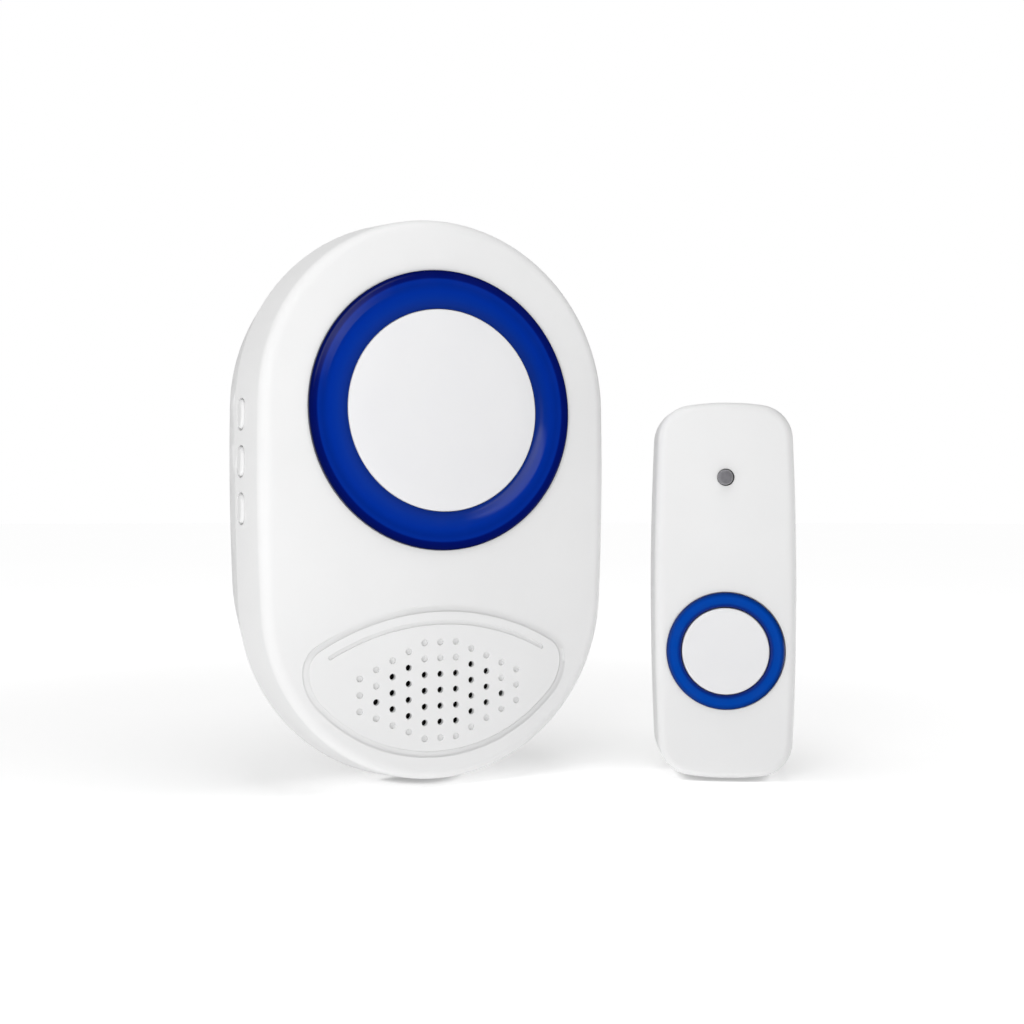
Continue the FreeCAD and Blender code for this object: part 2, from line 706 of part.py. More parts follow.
FACE = S["rear_depth"] + S["front_depth"]
INSIDE = FACE - S["case_wall"]
BOARD_FRONT = FACE - S["board_set"]
BOARD_BACK = BOARD_FRONT - S["board_thick"]
SLOPE = tangent(S["front_draft"])
SPEAKER_FACE = INSIDE - S["gasket_thick"]
FLOOR_RADIUS = S["bottom_radius"] - S["case_wall"] - SLOPE * (S["front_depth"] - S["case_wall"])
SPEAKER_DROP = S["bottom_drop"] + FLOOR_RADIUS - S["speaker_radius"] - S["speaker_room"]
BUTTON_LEVEL = FACE - S["button_set"]
CELL_LEVEL = S["door_thick"] + S["door_bed"] + S["bay_room"] + S["cell_radius"]
BAY_DEPTH = CELL_LEVEL + S["cell_radius"] + S["bay_room"]
BAY_HALF = (S["cell_length"] + S["spring_room"]) / 2 + S["plate_thick"]
BAY_TALL = S["cell_pitch"] + S["cell_radius"] + S["bay_room"]
DOOR_HALF = BAY_HALF + S["door_edge"]
DOOR_TALL = BAY_TALL + S["door_edge"] - S["door_gap"]
BUTTON_HEIGHTS = [S["button_pitch"] - S["button_drop"], -S["button_drop"], -S["button_pitch"] - S["button_drop"]]
BUTTON_NAMES = ["upper", "middle", "lower"]
BOSSES = [(side, S["boss_top"]) for side in (S["boss_top"], -S["boss_top"])]
BOSSES += [(side, -S["boss_drop"]) for side in (S["boss_side"], -S["boss_side"])]
POSTS = [(S["post_side"], -S["post_drop"]), (-S["post_side"], -S["post_drop"])]


def receiver_front_shell():
    body = new_body("receiver_front_shell")
    outline = new_sketch(body, "outline", lift=S["rear_depth"])
    draw_egg(outline, 0)
    block = raise_pad(body, outline, S["front_depth"], slope=S["front_draft"])
    round_edges(body, block, S["edge_round"], on_plane(-FACE.number))
    cavity = new_sketch(body, "cavity", lift=S["rear_depth"])
    draw_egg(cavity, S["case_wall"])
    sink_pocket(body, cavity, S["front_depth"] - S["case_wall"], slope=S["front_draft"])
    lap = new_sketch(body, "lap", lift=S["rear_depth"])
    draw_egg(lap, S["case_wall"] / 2)
    sink_pocket(body, lap, S["lap_height"] + S["fit_gap"])
    seat = new_sketch(body, "ring_seat", lift=FACE)
    draw_circle(seat, S["ring_radius"] + S["fit_gap"])
    sink_pocket(body, seat, S["ring_seat"], to_front=False)
    window = new_sketch(body, "window", lift=FACE)
    draw_circle(window, S["ring_skirt"] + S["fit_gap"])
    sink_pocket(body, window, S["case_wall"], to_front=False)
    speaker_panel(body)
    side_openings(body)
    front_bosses(body)


def speaker_panel(body):
    """The grooved panel with its raised bar, the speaker holes and the blind dimples."""
    groove = new_sketch(body, "groove", lift=FACE)
    draw_panel(groove, 0)
    draw_panel(groove, S["groove_width"])
    sink_pocket(body, groove, S["groove_depth"], to_front=False, slope=S["groove_slope"])
    brow = new_sketch(body, "brow", lift=FACE)
    upper = panel_arc(S["panel_up"], S["panel_tip"])
    centre = -S["panel_middle"] + S["panel_up"] - upper
    draw_band(brow, upper - S["groove_width"] - S["brow_width"], S["brow_groove"], -S["panel_shift"], centre)
    sink_pocket(body, brow, S["brow_depth"], to_front=False)
    thinned = new_sketch(body, "grille", lift=INSIDE)
    draw_circle(thinned, S["grille_radius"], -S["panel_shift"], -SPEAKER_DROP)
    sink_pocket(body, thinned, S["grille_depth"])
    holes = new_sketch(body, "holes", lift=FACE)
    dimples = new_sketch(body, "dimples", lift=FACE)
    for x, z, pierced in hole_places():
        draw_circle(holes if pierced else dimples, S["hole_radius"], x, z)
    sink_pocket(body, dimples, S["dimple_depth"], to_front=False)
    sink_pocket(body, holes, S["case_wall"] * 2, to_front=False)


def draw_band(sketch, outer, width, x, z):
    """A curved slot with round ends about the centre (x, z)."""
    inner = outer - width
    hub = Vector(x.number, z.number, 0)
    turn = Vector(0, 0, 1)
    half = S["brow_half"]
    rise = math.sqrt((outer.number - width.number / 2) ** 2 - half.number ** 2)
    right, left = hub + Vector(half.number, rise, 0), hub + Vector(-half.number, rise, 0)
    lean = math.atan2(rise, half.number)
    top = sketch.addGeometry(Part.ArcOfCircle(Part.Circle(hub, turn, outer.number), lean, math.pi - lean), False)
    low = sketch.addGeometry(Part.ArcOfCircle(Part.Circle(hub, turn, inner.number), lean, math.pi - lean), False)
    round_size = width.number / 2
    first = sketch.addGeometry(
        Part.ArcOfCircle(Part.Circle(right, turn, round_size), lean - math.pi, lean), False)
    last = sketch.addGeometry(
        Part.ArcOfCircle(Part.Circle(left, turn, round_size), math.pi - lean, 2 * math.pi - lean), False)
    for one, end, other, start in ((first, 2, top, 1), (top, 2, last, 1), (last, 2, low, 2), (low, 1, first, 1)):
        sketch.addConstraint(Sketcher.Constraint("Tangent", one, end, other, start))
    put_point(sketch, top, 3, x, z)
    drive(sketch, Sketcher.Constraint("Radius", top, outer.number), outer)
    drive(sketch, Sketcher.Constraint("Radius", low, inner.number), inner)
    sketch.addConstraint(Sketcher.Constraint("Coincident", top, 3, low, 3))
    drive(sketch, Sketcher.Constraint("DistanceX", -1, 1, first, 3, right.x), half + x)
    drive(sketch, Sketcher.Constraint("DistanceX", -1, 1, last, 3, left.x), x - half)


def hole_places():
    """Columns of holes that grow shorter to both sides; those outside an oval are blind."""
    places = []
    reach, limit = int(S["column_reach"].number), int(S["column_limit"].number)
    for column in range(-reach, reach + 1):
        count = min(limit, limit + 1 - abs(column))
        aside = S["hole_column"] * column
        for index in range(count):
            z = S["hole_row"] * (index - (count - 1) / 2) - S["hole_drop"]
            across = aside.number / S["open_half"].number
            down = (z + S["open_drop"]).number / S["open_tall"].number
            places.append((aside - S["panel_shift"], z, across ** 2 + down ** 2 < 1))
    return places


def side_openings(body):
    slots = new_sketch(body, "button_slots", "YZ_Plane")
    radius = S["button_radius"] + S["slide_gap"]
    for height in BUTTON_HEIGHTS:
        draw_pill(slots, S["button_length"] / 2 + S["slide_gap"], radius, -BUTTON_LEVEL, height)
    sink_pocket(body, slots, to_front=False)


def front_bosses(body):
    """Case bosses, board posts and the rib that holds the speaker."""
    bosses = new_sketch(body, "bosses", lift=INSIDE)
    for x, z in BOSSES:
        draw_circle(bosses, S["boss_radius"], x, z)
    raise_pad(body, bosses, INSIDE - S["rear_depth"], to_front=False)
    pilots = new_sketch(body, "pilots", lift=S["rear_depth"])
    for x, z in BOSSES:
        draw_circle(pilots, S["screw_radius"] + S["fit_gap"] / 2, x, z)
    sink_pocket(body, pilots, S["screw_grip"] - S["rear_depth"] + S["well_depth"] + S["pilot_room"])
    posts = new_sketch(body, "posts", lift=INSIDE)
    for x, z in POSTS:
        draw_circle(posts, S["post_radius"], x, z)
    raise_pad(body, posts, INSIDE - BOARD_FRONT, to_front=False)
    taps = new_sketch(body, "taps", lift=BOARD_FRONT)
    for x, z in POSTS:
        draw_circle(taps, S["small_screw"] + S["fit_gap"] / 2, x, z)
    sink_pocket(body, taps, INSIDE - BOARD_FRONT)
    rib = new_sketch(body, "speaker_rib", lift=INSIDE)
    inside = S["speaker_radius"] + S["fit_gap"]
    draw_circle(rib, inside + S["speaker_rib"], -S["panel_shift"], -SPEAKER_DROP)
    draw_circle(rib, inside, -S["panel_shift"], -SPEAKER_DROP)
    raise_pad(body, rib, S["rib_height"], to_front=False)


def rear_outline(body, name, level, inset):
    """The outline of the rear shell at a level; it shrinks towards the back plane."""
    share = as_size(1) - level / S["rear_depth"]
    sketch = new_sketch(body, name, lift=level)
    draw_egg(sketch, inset + S["rear_inset"] * share, S["rear_top_lean"] * share, S["rear_bottom_lean"] * share)
    return sketch


def receiver_rear_shell():
    body = new_body("receiver_rear_shell")
    block = body.newObject("PartDesign::AdditiveLoft", "rear_block")
    block.Profile = rear_outline(body, "front", S["rear_depth"], ZERO)
    block.Sections = [
        rear_outline(body, "bevel", S["rear_bevel"], ZERO),
        rear_outline(body, "back", ZERO, S["rear_bevel"]),
    ]
    block.Ruled = True
    doc.recompute()
    solid = body.Shape.Volume
    hollow = body.newObject("PartDesign::SubtractiveLoft", "rear_hollow")
    hollow.Profile = rear_outline(body, "mouth", S["rear_depth"], S["case_wall"])
    hollow.Sections = [rear_outline(body, "floor", S["case_wall"], S["case_wall"])]
    hollow.Ruled = True
    doc.recompute()
    if body.Shape.Volume > solid / 2:
        raise ValueError("the rear shell is not hollow")
    lap = new_sketch(body, "lap", lift=S["rear_depth"])
    draw_egg(lap, S["case_wall"] / 2 + S["fit_gap"])
    draw_egg(lap, S["case_wall"])
    raise_pad(body, lap, S["lap_height"])
    battery_bay(body)
    screw_wells(body)
    keyhole(body)


def bay_rectangle(sketch, half, tall):
    draw_rectangle(sketch, -half, half, -tall - S["bay_middle"], tall - S["bay_middle"])


def battery_bay(body):
    """Bay walls, the stepped door recess, the tab slots and the latch notch."""
    rim = new_sketch(body, "rim", lift=S["case_wall"])
    bay_rectangle(rim, DOOR_HALF + S["rim_edge"], DOOR_TALL + S["door_gap"] + S["rim_edge"])
    raise_pad(body, rim, S["rim_depth"] - S["case_wall"])
    walls = new_sketch(body, "bay_walls", lift=S["case_wall"])
    bay_rectangle(walls, BAY_HALF + S["bay_wall"], BAY_TALL + S["bay_wall"])
    raise_pad(body, walls, BAY_DEPTH + S["bay_wall"] - S["case_wall"])
    bay = new_sketch(body, "bay", lift=ZERO)
    bay_rectangle(bay, BAY_HALF, BAY_TALL)
    sink_pocket(body, bay, BAY_DEPTH)
    recess = new_sketch(body, "door_recess", lift=ZERO)
    bay_rectangle(recess, DOOR_HALF + S["door_gap"], DOOR_TALL + S["door_gap"])
    sink_pocket(body, recess, S["door_thick"] + S["door_bed"])
    slots = new_sketch(body, "tab_slots", lift=S["tab_skin"])
    edge = -DOOR_TALL - S["bay_middle"]
    for side in (-1, 1):
        middle = S["tab_spread"] * side
        half = S["tab_width"] / 2 + S["guard_gap"]
        low = edge - S["tab_length"] - S["guard_gap"]
        draw_rectangle(slots, middle - half, middle + half, low, edge + S["tab_length"] + S["guard_gap"])
    sink_pocket(body, slots, S["guard_gap"] * 2 + S["tab_thick"] * 2)
    notch = new_sketch(body, "latch_notch", lift=ZERO)
    half = S["latch_width"] / 2
    top = DOOR_TALL - S["bay_middle"]
    draw_rectangle(notch, -half, half, top - S["latch_nose"], top + S["latch_nose"] + S["door_gap"])
    sink_pocket(body, notch, S["door_thick"] + S["door_bed"] + S["guard_gap"])


def screw_wells(body):
    wells = new_sketch(body, "wells", lift=S["case_wall"])
    for x, z in BOSSES:
        draw_circle(wells, S["well_radius"], x, z)
    raise_pad(body, wells, S["rear_depth"] - S["case_wall"])
    heads = new_sketch(body, "head_wells", lift=ZERO)
    for x, z in BOSSES:
        draw_circle(heads, S["screw_head"] + S["guard_gap"], x, z)
    sink_pocket(body, heads, S["well_depth"])
    shanks = new_sketch(body, "shank_holes", lift=ZERO)
    for x, z in BOSSES:
        draw_circle(shanks, S["screw_radius"] + S["guard_gap"], x, z)
    sink_pocket(body, shanks, S["rear_depth"] + S["lap_height"])


def keyhole(body):
    """A round hole for the screw's head with a slot above it for the shank."""
    head = new_sketch(body, "keyhole_head", lift=ZERO)
    draw_circle(head, S["keyhole_radius"], 0, S["keyhole_rise"])
    sink_pocket(body, head, S["case_wall"] + S["fit_gap"])
    slot = new_sketch(body, "keyhole_slot", lift=ZERO)
    half_length = S["keyhole_lift"] / 2 + S["keyhole_slot"]
    draw_pill(slot, half_length, S["keyhole_slot"], 0, S["keyhole_rise"] + S["keyhole_lift"] / 2)
    sink_pocket(body, slot, S["case_wall"] + S["fit_gap"])


def light_ring():
    outer = S["ring_radius"]
    lip = outer - S["lip_width"]
    bore = S["disc_radius"] + S["fit_gap"] / 2
    collar = bore + S["collar_width"]
    ledge = S["disc_radius"] - S["disc_ledge"]
    turned_part("receiver_light_ring", [
        (outer, S["ring_seat"] - FACE),
        (outer, -FACE - S["ring_lip"] / 2),
        (outer - S["ring_lip"] / 2, -FACE - S["ring_lip"]),
        (lip, -FACE - S["ring_lip"]),
        (lip - S["ring_lip"], -FACE - S["cove_rise"]),
        (collar + S["collar_rise"] * 2, -FACE - S["cove_rise"]),
        (collar, -FACE - S["collar_rise"]),
        (bore, -FACE - S["collar_rise"]),
        (bore, S["disc_seat"] - FACE),
        (ledge, S["disc_seat"] - FACE),
        (ledge, S["disc_seat"] + S["ring_seat"] - FACE),
        (S["skirt_inside"], S["disc_seat"] + S["ring_seat"] - FACE),
        (S["skirt_inside"], S["skirt_depth"] - FACE),
        (S["ring_skirt"], S["skirt_depth"] - FACE),
        (S["ring_skirt"], S["ring_seat"] - FACE),
    ])


def centre_disc():
    top = -FACE - S["disc_rise"]
    body, disc = turned_part("receiver_centre_disc", [
        (ZERO, S["disc_seat"] - FACE),
        (ZERO, top),
        (S["disc_radius"], top),
        (S["disc_radius"], S["disc_seat"] - FACE),
    ])
    bevel_edges(body, disc, S["disc_edge"], ring_edge(top.number, S["disc_radius"].number))


def reflector():
    """Two round walls on a floor with a window over each light chip."""
    floor = FACE - S["board_set"] + S["reflector_wall"]
    ledge = FACE - S["disc_seat"] - S["ring_seat"]
    inside = S["skirt_inside"] - S["fit_gap"] - S["reflector_wall"]
    outside = S["ring_skirt"] + S["reflector_wall"] * 2
    body, shell = turned_part("receiver_reflector", [
        (inside, -BOARD_FRONT),
        (inside, -ledge),
        (inside + S["reflector_wall"], -ledge),
        (inside + S["reflector_wall"], -floor),
        (outside - S["reflector_wall"], -floor),
        (outside - S["reflector_wall"], -INSIDE),
        (outside, -INSIDE),
        (outside, -BOARD_FRONT),
    ])
    window = new_sketch(body, "window", lift=BOARD_FRONT)
    half = S["lamp_size"] / 2 + S["fit_gap"]
    draw_rectangle(window, S["lamp_circle"] - half, S["lamp_circle"] + half, -half, half)
    pocket = sink_pocket(body, window, S["reflector_wall"])
    pattern = body.newObject("PartDesign::PolarPattern", "lamp_windows")
    pattern.Originals = [pocket]
    pattern.Axis = (window, ["N_Axis"])
    pattern.Angle = 360
    bind(pattern, "Occurrences", S["lamp_count"])
    body.Tip = pattern
    doc.recompute()


def light_chips():
    half = S["lamp_size"].number / 2
    chips = []
    for index in range(int(S["lamp_count"].number)):
        corner = Vector(S["lamp_circle"].number - half, -BOARD_FRONT.number - S["lamp_height"].number, -half)
        chip = Part.makeBox(2 * half, S["lamp_height"].number, 2 * half, corner)
        chip.rotate(Vector(0, 0, 0), Vector(0, 1, 0), index * 360 / S["lamp_count"].number)
        chips.append(chip)
    return made_part("receiver_light_chips", chips)


def main_board():
    """Board with a round top, straight sides and two screw holes."""
    body = new_body("receiver_circuit_board")
    sketch = new_sketch(body, "outline", lift=BOARD_BACK)
    radius = S["board_radius"]
    low = -S["board_drop"]
    turn = Vector(0, 0, 1)
    right, left = Vector(radius.number, 0, 0), Vector(-radius.number, 0, 0)
    down = Vector(0, low.number, 0)
    top = sketch.addGeometry(Part.ArcOfCircle(Part.Circle(Vector(), turn, radius.number), 0, math.pi), False)
    sides = []
    for start, end in ((left, left + down), (left + down, right + down), (right + down, right)):
        sides.append(sketch.addGeometry(Part.LineSegment(start, end), False))
    sketch.addConstraint(Sketcher.Constraint("Tangent", top, 2, sides[0], 1))
    sketch.addConstraint(Sketcher.Constraint("Coincident", sides[0], 2, sides[1], 1))
    sketch.addConstraint(Sketcher.Constraint("Coincident", sides[1], 2, sides[2], 1))
    sketch.addConstraint(Sketcher.Constraint("Tangent", sides[2], 2, top, 1))
    put_point(sketch, top, 3, ZERO, ZERO)
    drive(sketch, Sketcher.Constraint("Radius", top, radius.number), radius)
    drive(sketch, Sketcher.Constraint("DistanceY", -1, 1, sides[1], 1, down.y), low)
    drive(sketch, Sketcher.Constraint("DistanceY", -1, 1, sides[1], 2, down.y), low)
    sketch.addConstraint(Sketcher.Constraint("Vertical", sides[0]))
    sketch.addConstraint(Sketcher.Constraint("Vertical", sides[2]))
    for x, z in POSTS:
        draw_circle(sketch, S["small_screw"] + S["guard_gap"], x, z)
    raise_pad(body, sketch, S["board_thick"])


def board_parts():
    """Chips and coil on the back of the main board."""
    back = -BOARD_BACK
    row = S["row_rise"] - S["board_drop"]
    half, edge = S["chip_length"] / 2, S["chip_apart"] / 2
    capacitor = edge + S["chip_width"] + S["chip_apart"] / 2 + S["capacitor_radius"]
    low, high, width = row - half, row + half, S["chip_width"]
    chips = [
        make_box("melody_chip", -edge - width, -edge, back, back + S["chip_height"], low, high),
        make_box("radio_can", edge, edge + width, back, back + S["can_height"], low, high),
        make_rod("capacitor", S["capacitor_radius"], S["capacitor_height"], capacitor, back, row,
                 Vector(0, 1, 0)),
    ]
    group("receiver_chips", chips)
    coil = stood_coil(S["coil_radius"])
    coil.rotate(Vector(0, 0, 0), Vector(1, 0, 0), -90)
    coil.translate(Vector(-S["coil_side"].number, back.number, S["coil_rise"].number))
    made_part("receiver_radio_coil", [coil])


def stood_coil(radius):
    """A wire coil along Z that stands on a leg on the plane z = 0."""
    wire, leg = S["coil_wire"].number, S["coil_stand"].number
    turns = S["coil_turns"].number
    winding = coil_shape(radius.number, radius.number, S["coil_pitch"].number * turns, turns, wire)
    foot = Part.makeCylinder(wire, leg, Vector(radius.number, 0, -leg), Vector(0, 0, 1))
    coil = winding.fuse(foot)
    coil.translate(Vector(0, 0, leg))
    return coil


def turned_screw(name, shank, grip, head, height):
    """A pan-head screw along +Y, its head on the plane y = 0."""
    body = doc.addObject("Part::Cylinder", name + "_shank")
    body.Placement = Placement(Vector(0, 0, 0), Rotation(Vector(0, 0, 1), Vector(0, -1, 0)))
    bind(body, "Radius", shank)
    bind(body, "Height", grip)
    cap = doc.addObject("Part::Cylinder", name + "_head")
    cap.Placement = Placement(Vector(0, 0, 0), Rotation(Vector(0, 0, 1), Vector(0, 1, 0)))
    bind(cap, "Radius", head)
    bind(cap, "Height", height)
    whole = doc.addObject("Part::Fuse", name)
    whole.Base = body
    whole.Tool = cap
    doc.recompute()
    return whole


def screw_set(label, shank, grip, head, height, spots):
    """One screw copied to each spot."""
    screw = turned_screw(label + "_pattern", shank, grip, head, height)
    copies = []
    for x, y, z in spots:
        copies.append(screw.Shape.copy())
        copies[-1].translate(Vector(x.number, y.number, z.number))
    return made_part(label, copies)


def half_width(height):
    """Half width of the receiver's outline at a height between its top and bottom rounds."""
    side, rise, drop = S["side_radius"], S["top_rise"], -S["bottom_drop"]
    near, far = side - S["top_radius"], side - S["bottom_radius"]
    level = (far * far - near * near + rise * rise - drop * drop) / ((rise - drop) * 2)
    across = root(near * near - (rise - level) * (rise - level))
    return root(side * side - (height - level) * (height - level)) - across


def side_switch(name, height):
    """A side button, its plunger and the body of its switch."""
    wall = half_width(height) - SLOPE * (S["front_depth"] - S["button_set"])
    outside = -(wall + S["button_proud"])
    lean = SLOPE * (S["button_radius"] + S["flange_edge"])
    flange = -(wall - S["case_wall"] - S["guard_gap"] - lean)
    stem = flange + S["flange_thick"]
    switch_face = -S["board_radius"] - S["switch_overhang"]
    plunger_face = switch_face - S["plunger_reach"]
    body = new_body("side_button_" + name)
    cap = new_sketch(body, "cap", "YZ_Plane", lift=flange)
    draw_pill(cap, S["button_length"] / 2, S["button_radius"], ZERO, ZERO)
    top = raise_pad(body, cap, flange - outside, to_front=False)
    edge = outside.number
    bevel_edges(body, top, S["button_bevel"], lambda item: abs(item.BoundBox.XMax - edge) < 1e-4)
    rim = new_sketch(body, "flange", "YZ_Plane", lift=flange)
    draw_pill(rim, S["button_length"] / 2 + S["flange_edge"], S["button_radius"] + S["flange_edge"], ZERO, ZERO)
    raise_pad(body, rim, S["flange_thick"])
    rod = new_sketch(body, "stem", "YZ_Plane", lift=stem)
    draw_circle(rod, S["stem_radius"])
    raise_pad(body, rod, plunger_face - stem)
    place_receiver(body, -BUTTON_LEVEL, height)
    plunger = make_rod("plunger_" + name, S["plunger_radius"], S["plunger_reach"] + S["plunger_grip"],
                       plunger_face, -BUTTON_LEVEL, height, Vector(1, 0, 0))
    group("side_plunger_" + name, [plunger])
    half = S["switch_size"] / 2
    block = make_box("switch_block_" + name, switch_face, switch_face + S["switch_thick"], -BOARD_BACK,
                     -BOARD_BACK + S["switch_height"], height - half, height + half)
    well = make_rod("switch_well_" + name, S["plunger_radius"] + S["fit_gap"] / 2,
                    S["plunger_grip"] + S["button_travel"] + S["guard_gap"], switch_face, -BUTTON_LEVEL, height,
                    Vector(1, 0, 0))
    return cut_from("switch_" + name, block, well)


def speaker():
    """Gasket, pressed frame, paper cone and magnet, turned about the speaker's own axis."""
    outer, metal = S["speaker_radius"], S["sheet_metal"]
    face, inside = -SPEAKER_FACE, S["gasket_inside"]
    turned_part("speaker_gasket", [
        (inside, face), (inside, -INSIDE), (outer, -INSIDE), (outer, face)])
    rim, cup = S["rim_thick"], S["cup_radius"]
    floor = face + S["cup_depth"]
    lip = inside - S["frame_lip"]
    turned_part("speaker_frame", [
        (lip, face), (outer, face), (outer, face + rim), (inside - S["frame_draw"], face + rim),
        (cup, floor - rim), (cup, floor), (ZERO, floor), (ZERO, floor - metal),
        (cup - metal, floor - metal), (cup - metal, floor - rim - metal), (lip, face + metal)])
    cone, edge = S["cone_thick"], inside - S["fit_gap"]
    throat, shoulder = face + S["throat_depth"], face + S["shoulder_depth"]
    crown = face + S["crown_depth"]
    turned_part("speaker_cone", [
        (edge, face), (edge, face - cone), (edge - S["cone_edge"], face - cone), (S["throat_radius"], throat),
        (S["cap_shoulder"], shoulder), (ZERO, crown), (ZERO, crown + cone), (S["cap_shoulder"], shoulder + cone),
        (S["throat_radius"], throat + cone), (lip, face)])
    magnet, back = S["magnet_radius"], floor + S["magnet_height"]
    step, inset = S["magnet_step"], S["magnet_inset"]
    turned_part("speaker_magnet", [
        (ZERO, floor), (magnet, floor), (magnet, back - step), (magnet - inset, back - step),
        (magnet - inset, back), (ZERO, back)])


def battery_door():
    body = new_body("battery_door")
    panel = new_sketch(body, "panel", lift=ZERO)
    bay_rectangle(panel, DOOR_HALF, DOOR_TALL)
    raise_pad(body, panel, S["door_thick"])
    edge = -DOOR_TALL - S["bay_middle"]
    tabs = new_sketch(body, "tabs", lift=S["tab_skin"] + S["guard_gap"])
    for side in (-1, 1):
        middle = S["tab_spread"] * side
        half = S["tab_width"] / 2
        draw_rectangle(tabs, middle - half, middle + half, edge - S["tab_length"], edge + S["tab_length"])
    raise_pad(body, tabs, S["tab_thick"])
    top = DOOR_TALL - S["bay_middle"]
    half = S["latch_width"] / 2 - S["latch_slit"]
    slits = new_sketch(body, "slits", lift=ZERO)
    for side in (-1, 1):
        near = half * side
        far = near + S["latch_slit"] * side
        low, high = (near, far) if side > 0 else (far, near)
        draw_rectangle(slits, low, high, top - S["latch_length"], top + S["latch_nose"])
    sink_pocket(body, slits)
    nose = new_sketch(body, "nose", lift=S["door_thick"] / 2)
    draw_rectangle(nose, -half, half, top - S["latch_nose"], top + S["latch_nose"])
    raise_pad(body, nose, S["door_thick"] / 2 + S["door_bed"])
    grip = new_sketch(body, "grip", lift=ZERO)
    reach = half - S["grip_width"]
    for step in range(int(S["grip_count"].number)):
        high = top - S["grip_start"] - S["grip_pitch"] * step
        draw_rectangle(grip, -reach, reach, high - S["grip_width"], high)
    sink_pocket(body, grip, S["grip_depth"])


def cells_and_contacts():
    """Three cells in series, so the middle one lies the other way round."""
    half = BAY_HALF
    heights = [S["cell_pitch"] - S["bay_middle"], -S["bay_middle"], -S["cell_pitch"] - S["bay_middle"]]
    tip = half - S["plate_thick"]
    length = S["cell_length"]
    plates, springs = [], []
    for index, (name, height) in enumerate(zip(BUTTON_NAMES, heights)):
        side = -1 if index == 1 else 1
        body, cell_body = turned_part("battery_cell_" + name, [
            ((tip - length) * side, ZERO), ((tip - length) * side, S["cell_radius"]),
            ((tip - S["nub_length"]) * side, S["cell_radius"]), ((tip - S["nub_length"]) * side, S["nub_radius"]),
            (tip * side, S["nub_radius"]), (tip * side, ZERO)], "H_Axis")
        place_receiver(body, -CELL_LEVEL, height)
        for end in (-1, 1):
            near = tip * end
            far = half * end
            low, high = (near, far) if end > 0 else (far, near)
            size = S["plate_size"] / 2
            plates.append(make_box("plate_%s_%s" % (name, "right" if end > 0 else "left"), low, high,
                                   -CELL_LEVEL - size, -CELL_LEVEL + size, height - size, height + size))
        room = (half * 2 - S["plate_thick"] * 2 - length).number
        springs.append(contact_spring(room, Vector(-tip.number * side, -CELL_LEVEL.number, height.number), side))
    group("battery_plates", plates)
    made_part("battery_springs", springs)


def contact_spring(room, foot, side):
    """A tapered spring that fills the room between a plate and a cell."""
    wire = S["wire_radius"].number
    spring = coil_shape(S["spring_radius"].number, S["spring_tip"].number, room - 2 * wire,
                        S["spring_turns"].number, wire)
    spring.translate(Vector(0, 0, wire))
    spring.rotate(Vector(0, 0, 0), Vector(0, 1, 0), 90 * side)
    spring.translate(foot)
    return spring


def place_receiver(piece, y=ZERO, z=ZERO):
    """Stand a receiver piece so that the keyhole is the origin."""
    bind(piece, "Placement.Base.y", y)
    bind(piece, "Placement.Base.z", as_size(z) - S["keyhole_rise"])


def build_receiver():
    receiver_front_shell()
    receiver_rear_shell()
    light_ring()
    centre_disc()
    reflector()
    light_chips()
    main_board()
    board_parts()
    spots = [(x, -S["well_depth"], z) for x, z in BOSSES]
    screw_set("case_screws", S["screw_radius"], S["screw_grip"], S["screw_head"], S["head_height"], spots)
    spots = [(x, -BOARD_BACK, z) for x, z in POSTS]
    screw_set("board_screws", S["small_screw"], S["small_grip"], S["small_head"], S["small_height"], spots)
    switches = [side_switch(name, height) for name, height in zip(BUTTON_NAMES, BUTTON_HEIGHTS)]
    group("side_switches", switches)
    speaker()
    battery_door()
    cells_and_contacts()


# Push button levels, as distances in front of its back plane

PUSH_FACE = S["push_depth"]
PUSH_INSIDE = PUSH_FACE - S["push_wall"]
CAP_FRONT = PUSH_FACE + S["cap_rise"]
CAP_FLANGE = PUSH_FACE - S["push_guide"] - S["guard_gap"]
POST_SIDE = S["board_half"] - S["post_inset"]
PUSH_POSTS = [(-POST_SIDE, S["post_inset"] - S["board_foot"]), (POST_SIDE, S["post_inset"] - S["board_foot"]),
              (POST_SIDE, S["board_head"] - S["post_inset"])]
BATTERY_END = S["battery_start"] + S["battery_length"]
CONTACT_TOP = BATTERY_END + S["battery_spring"]


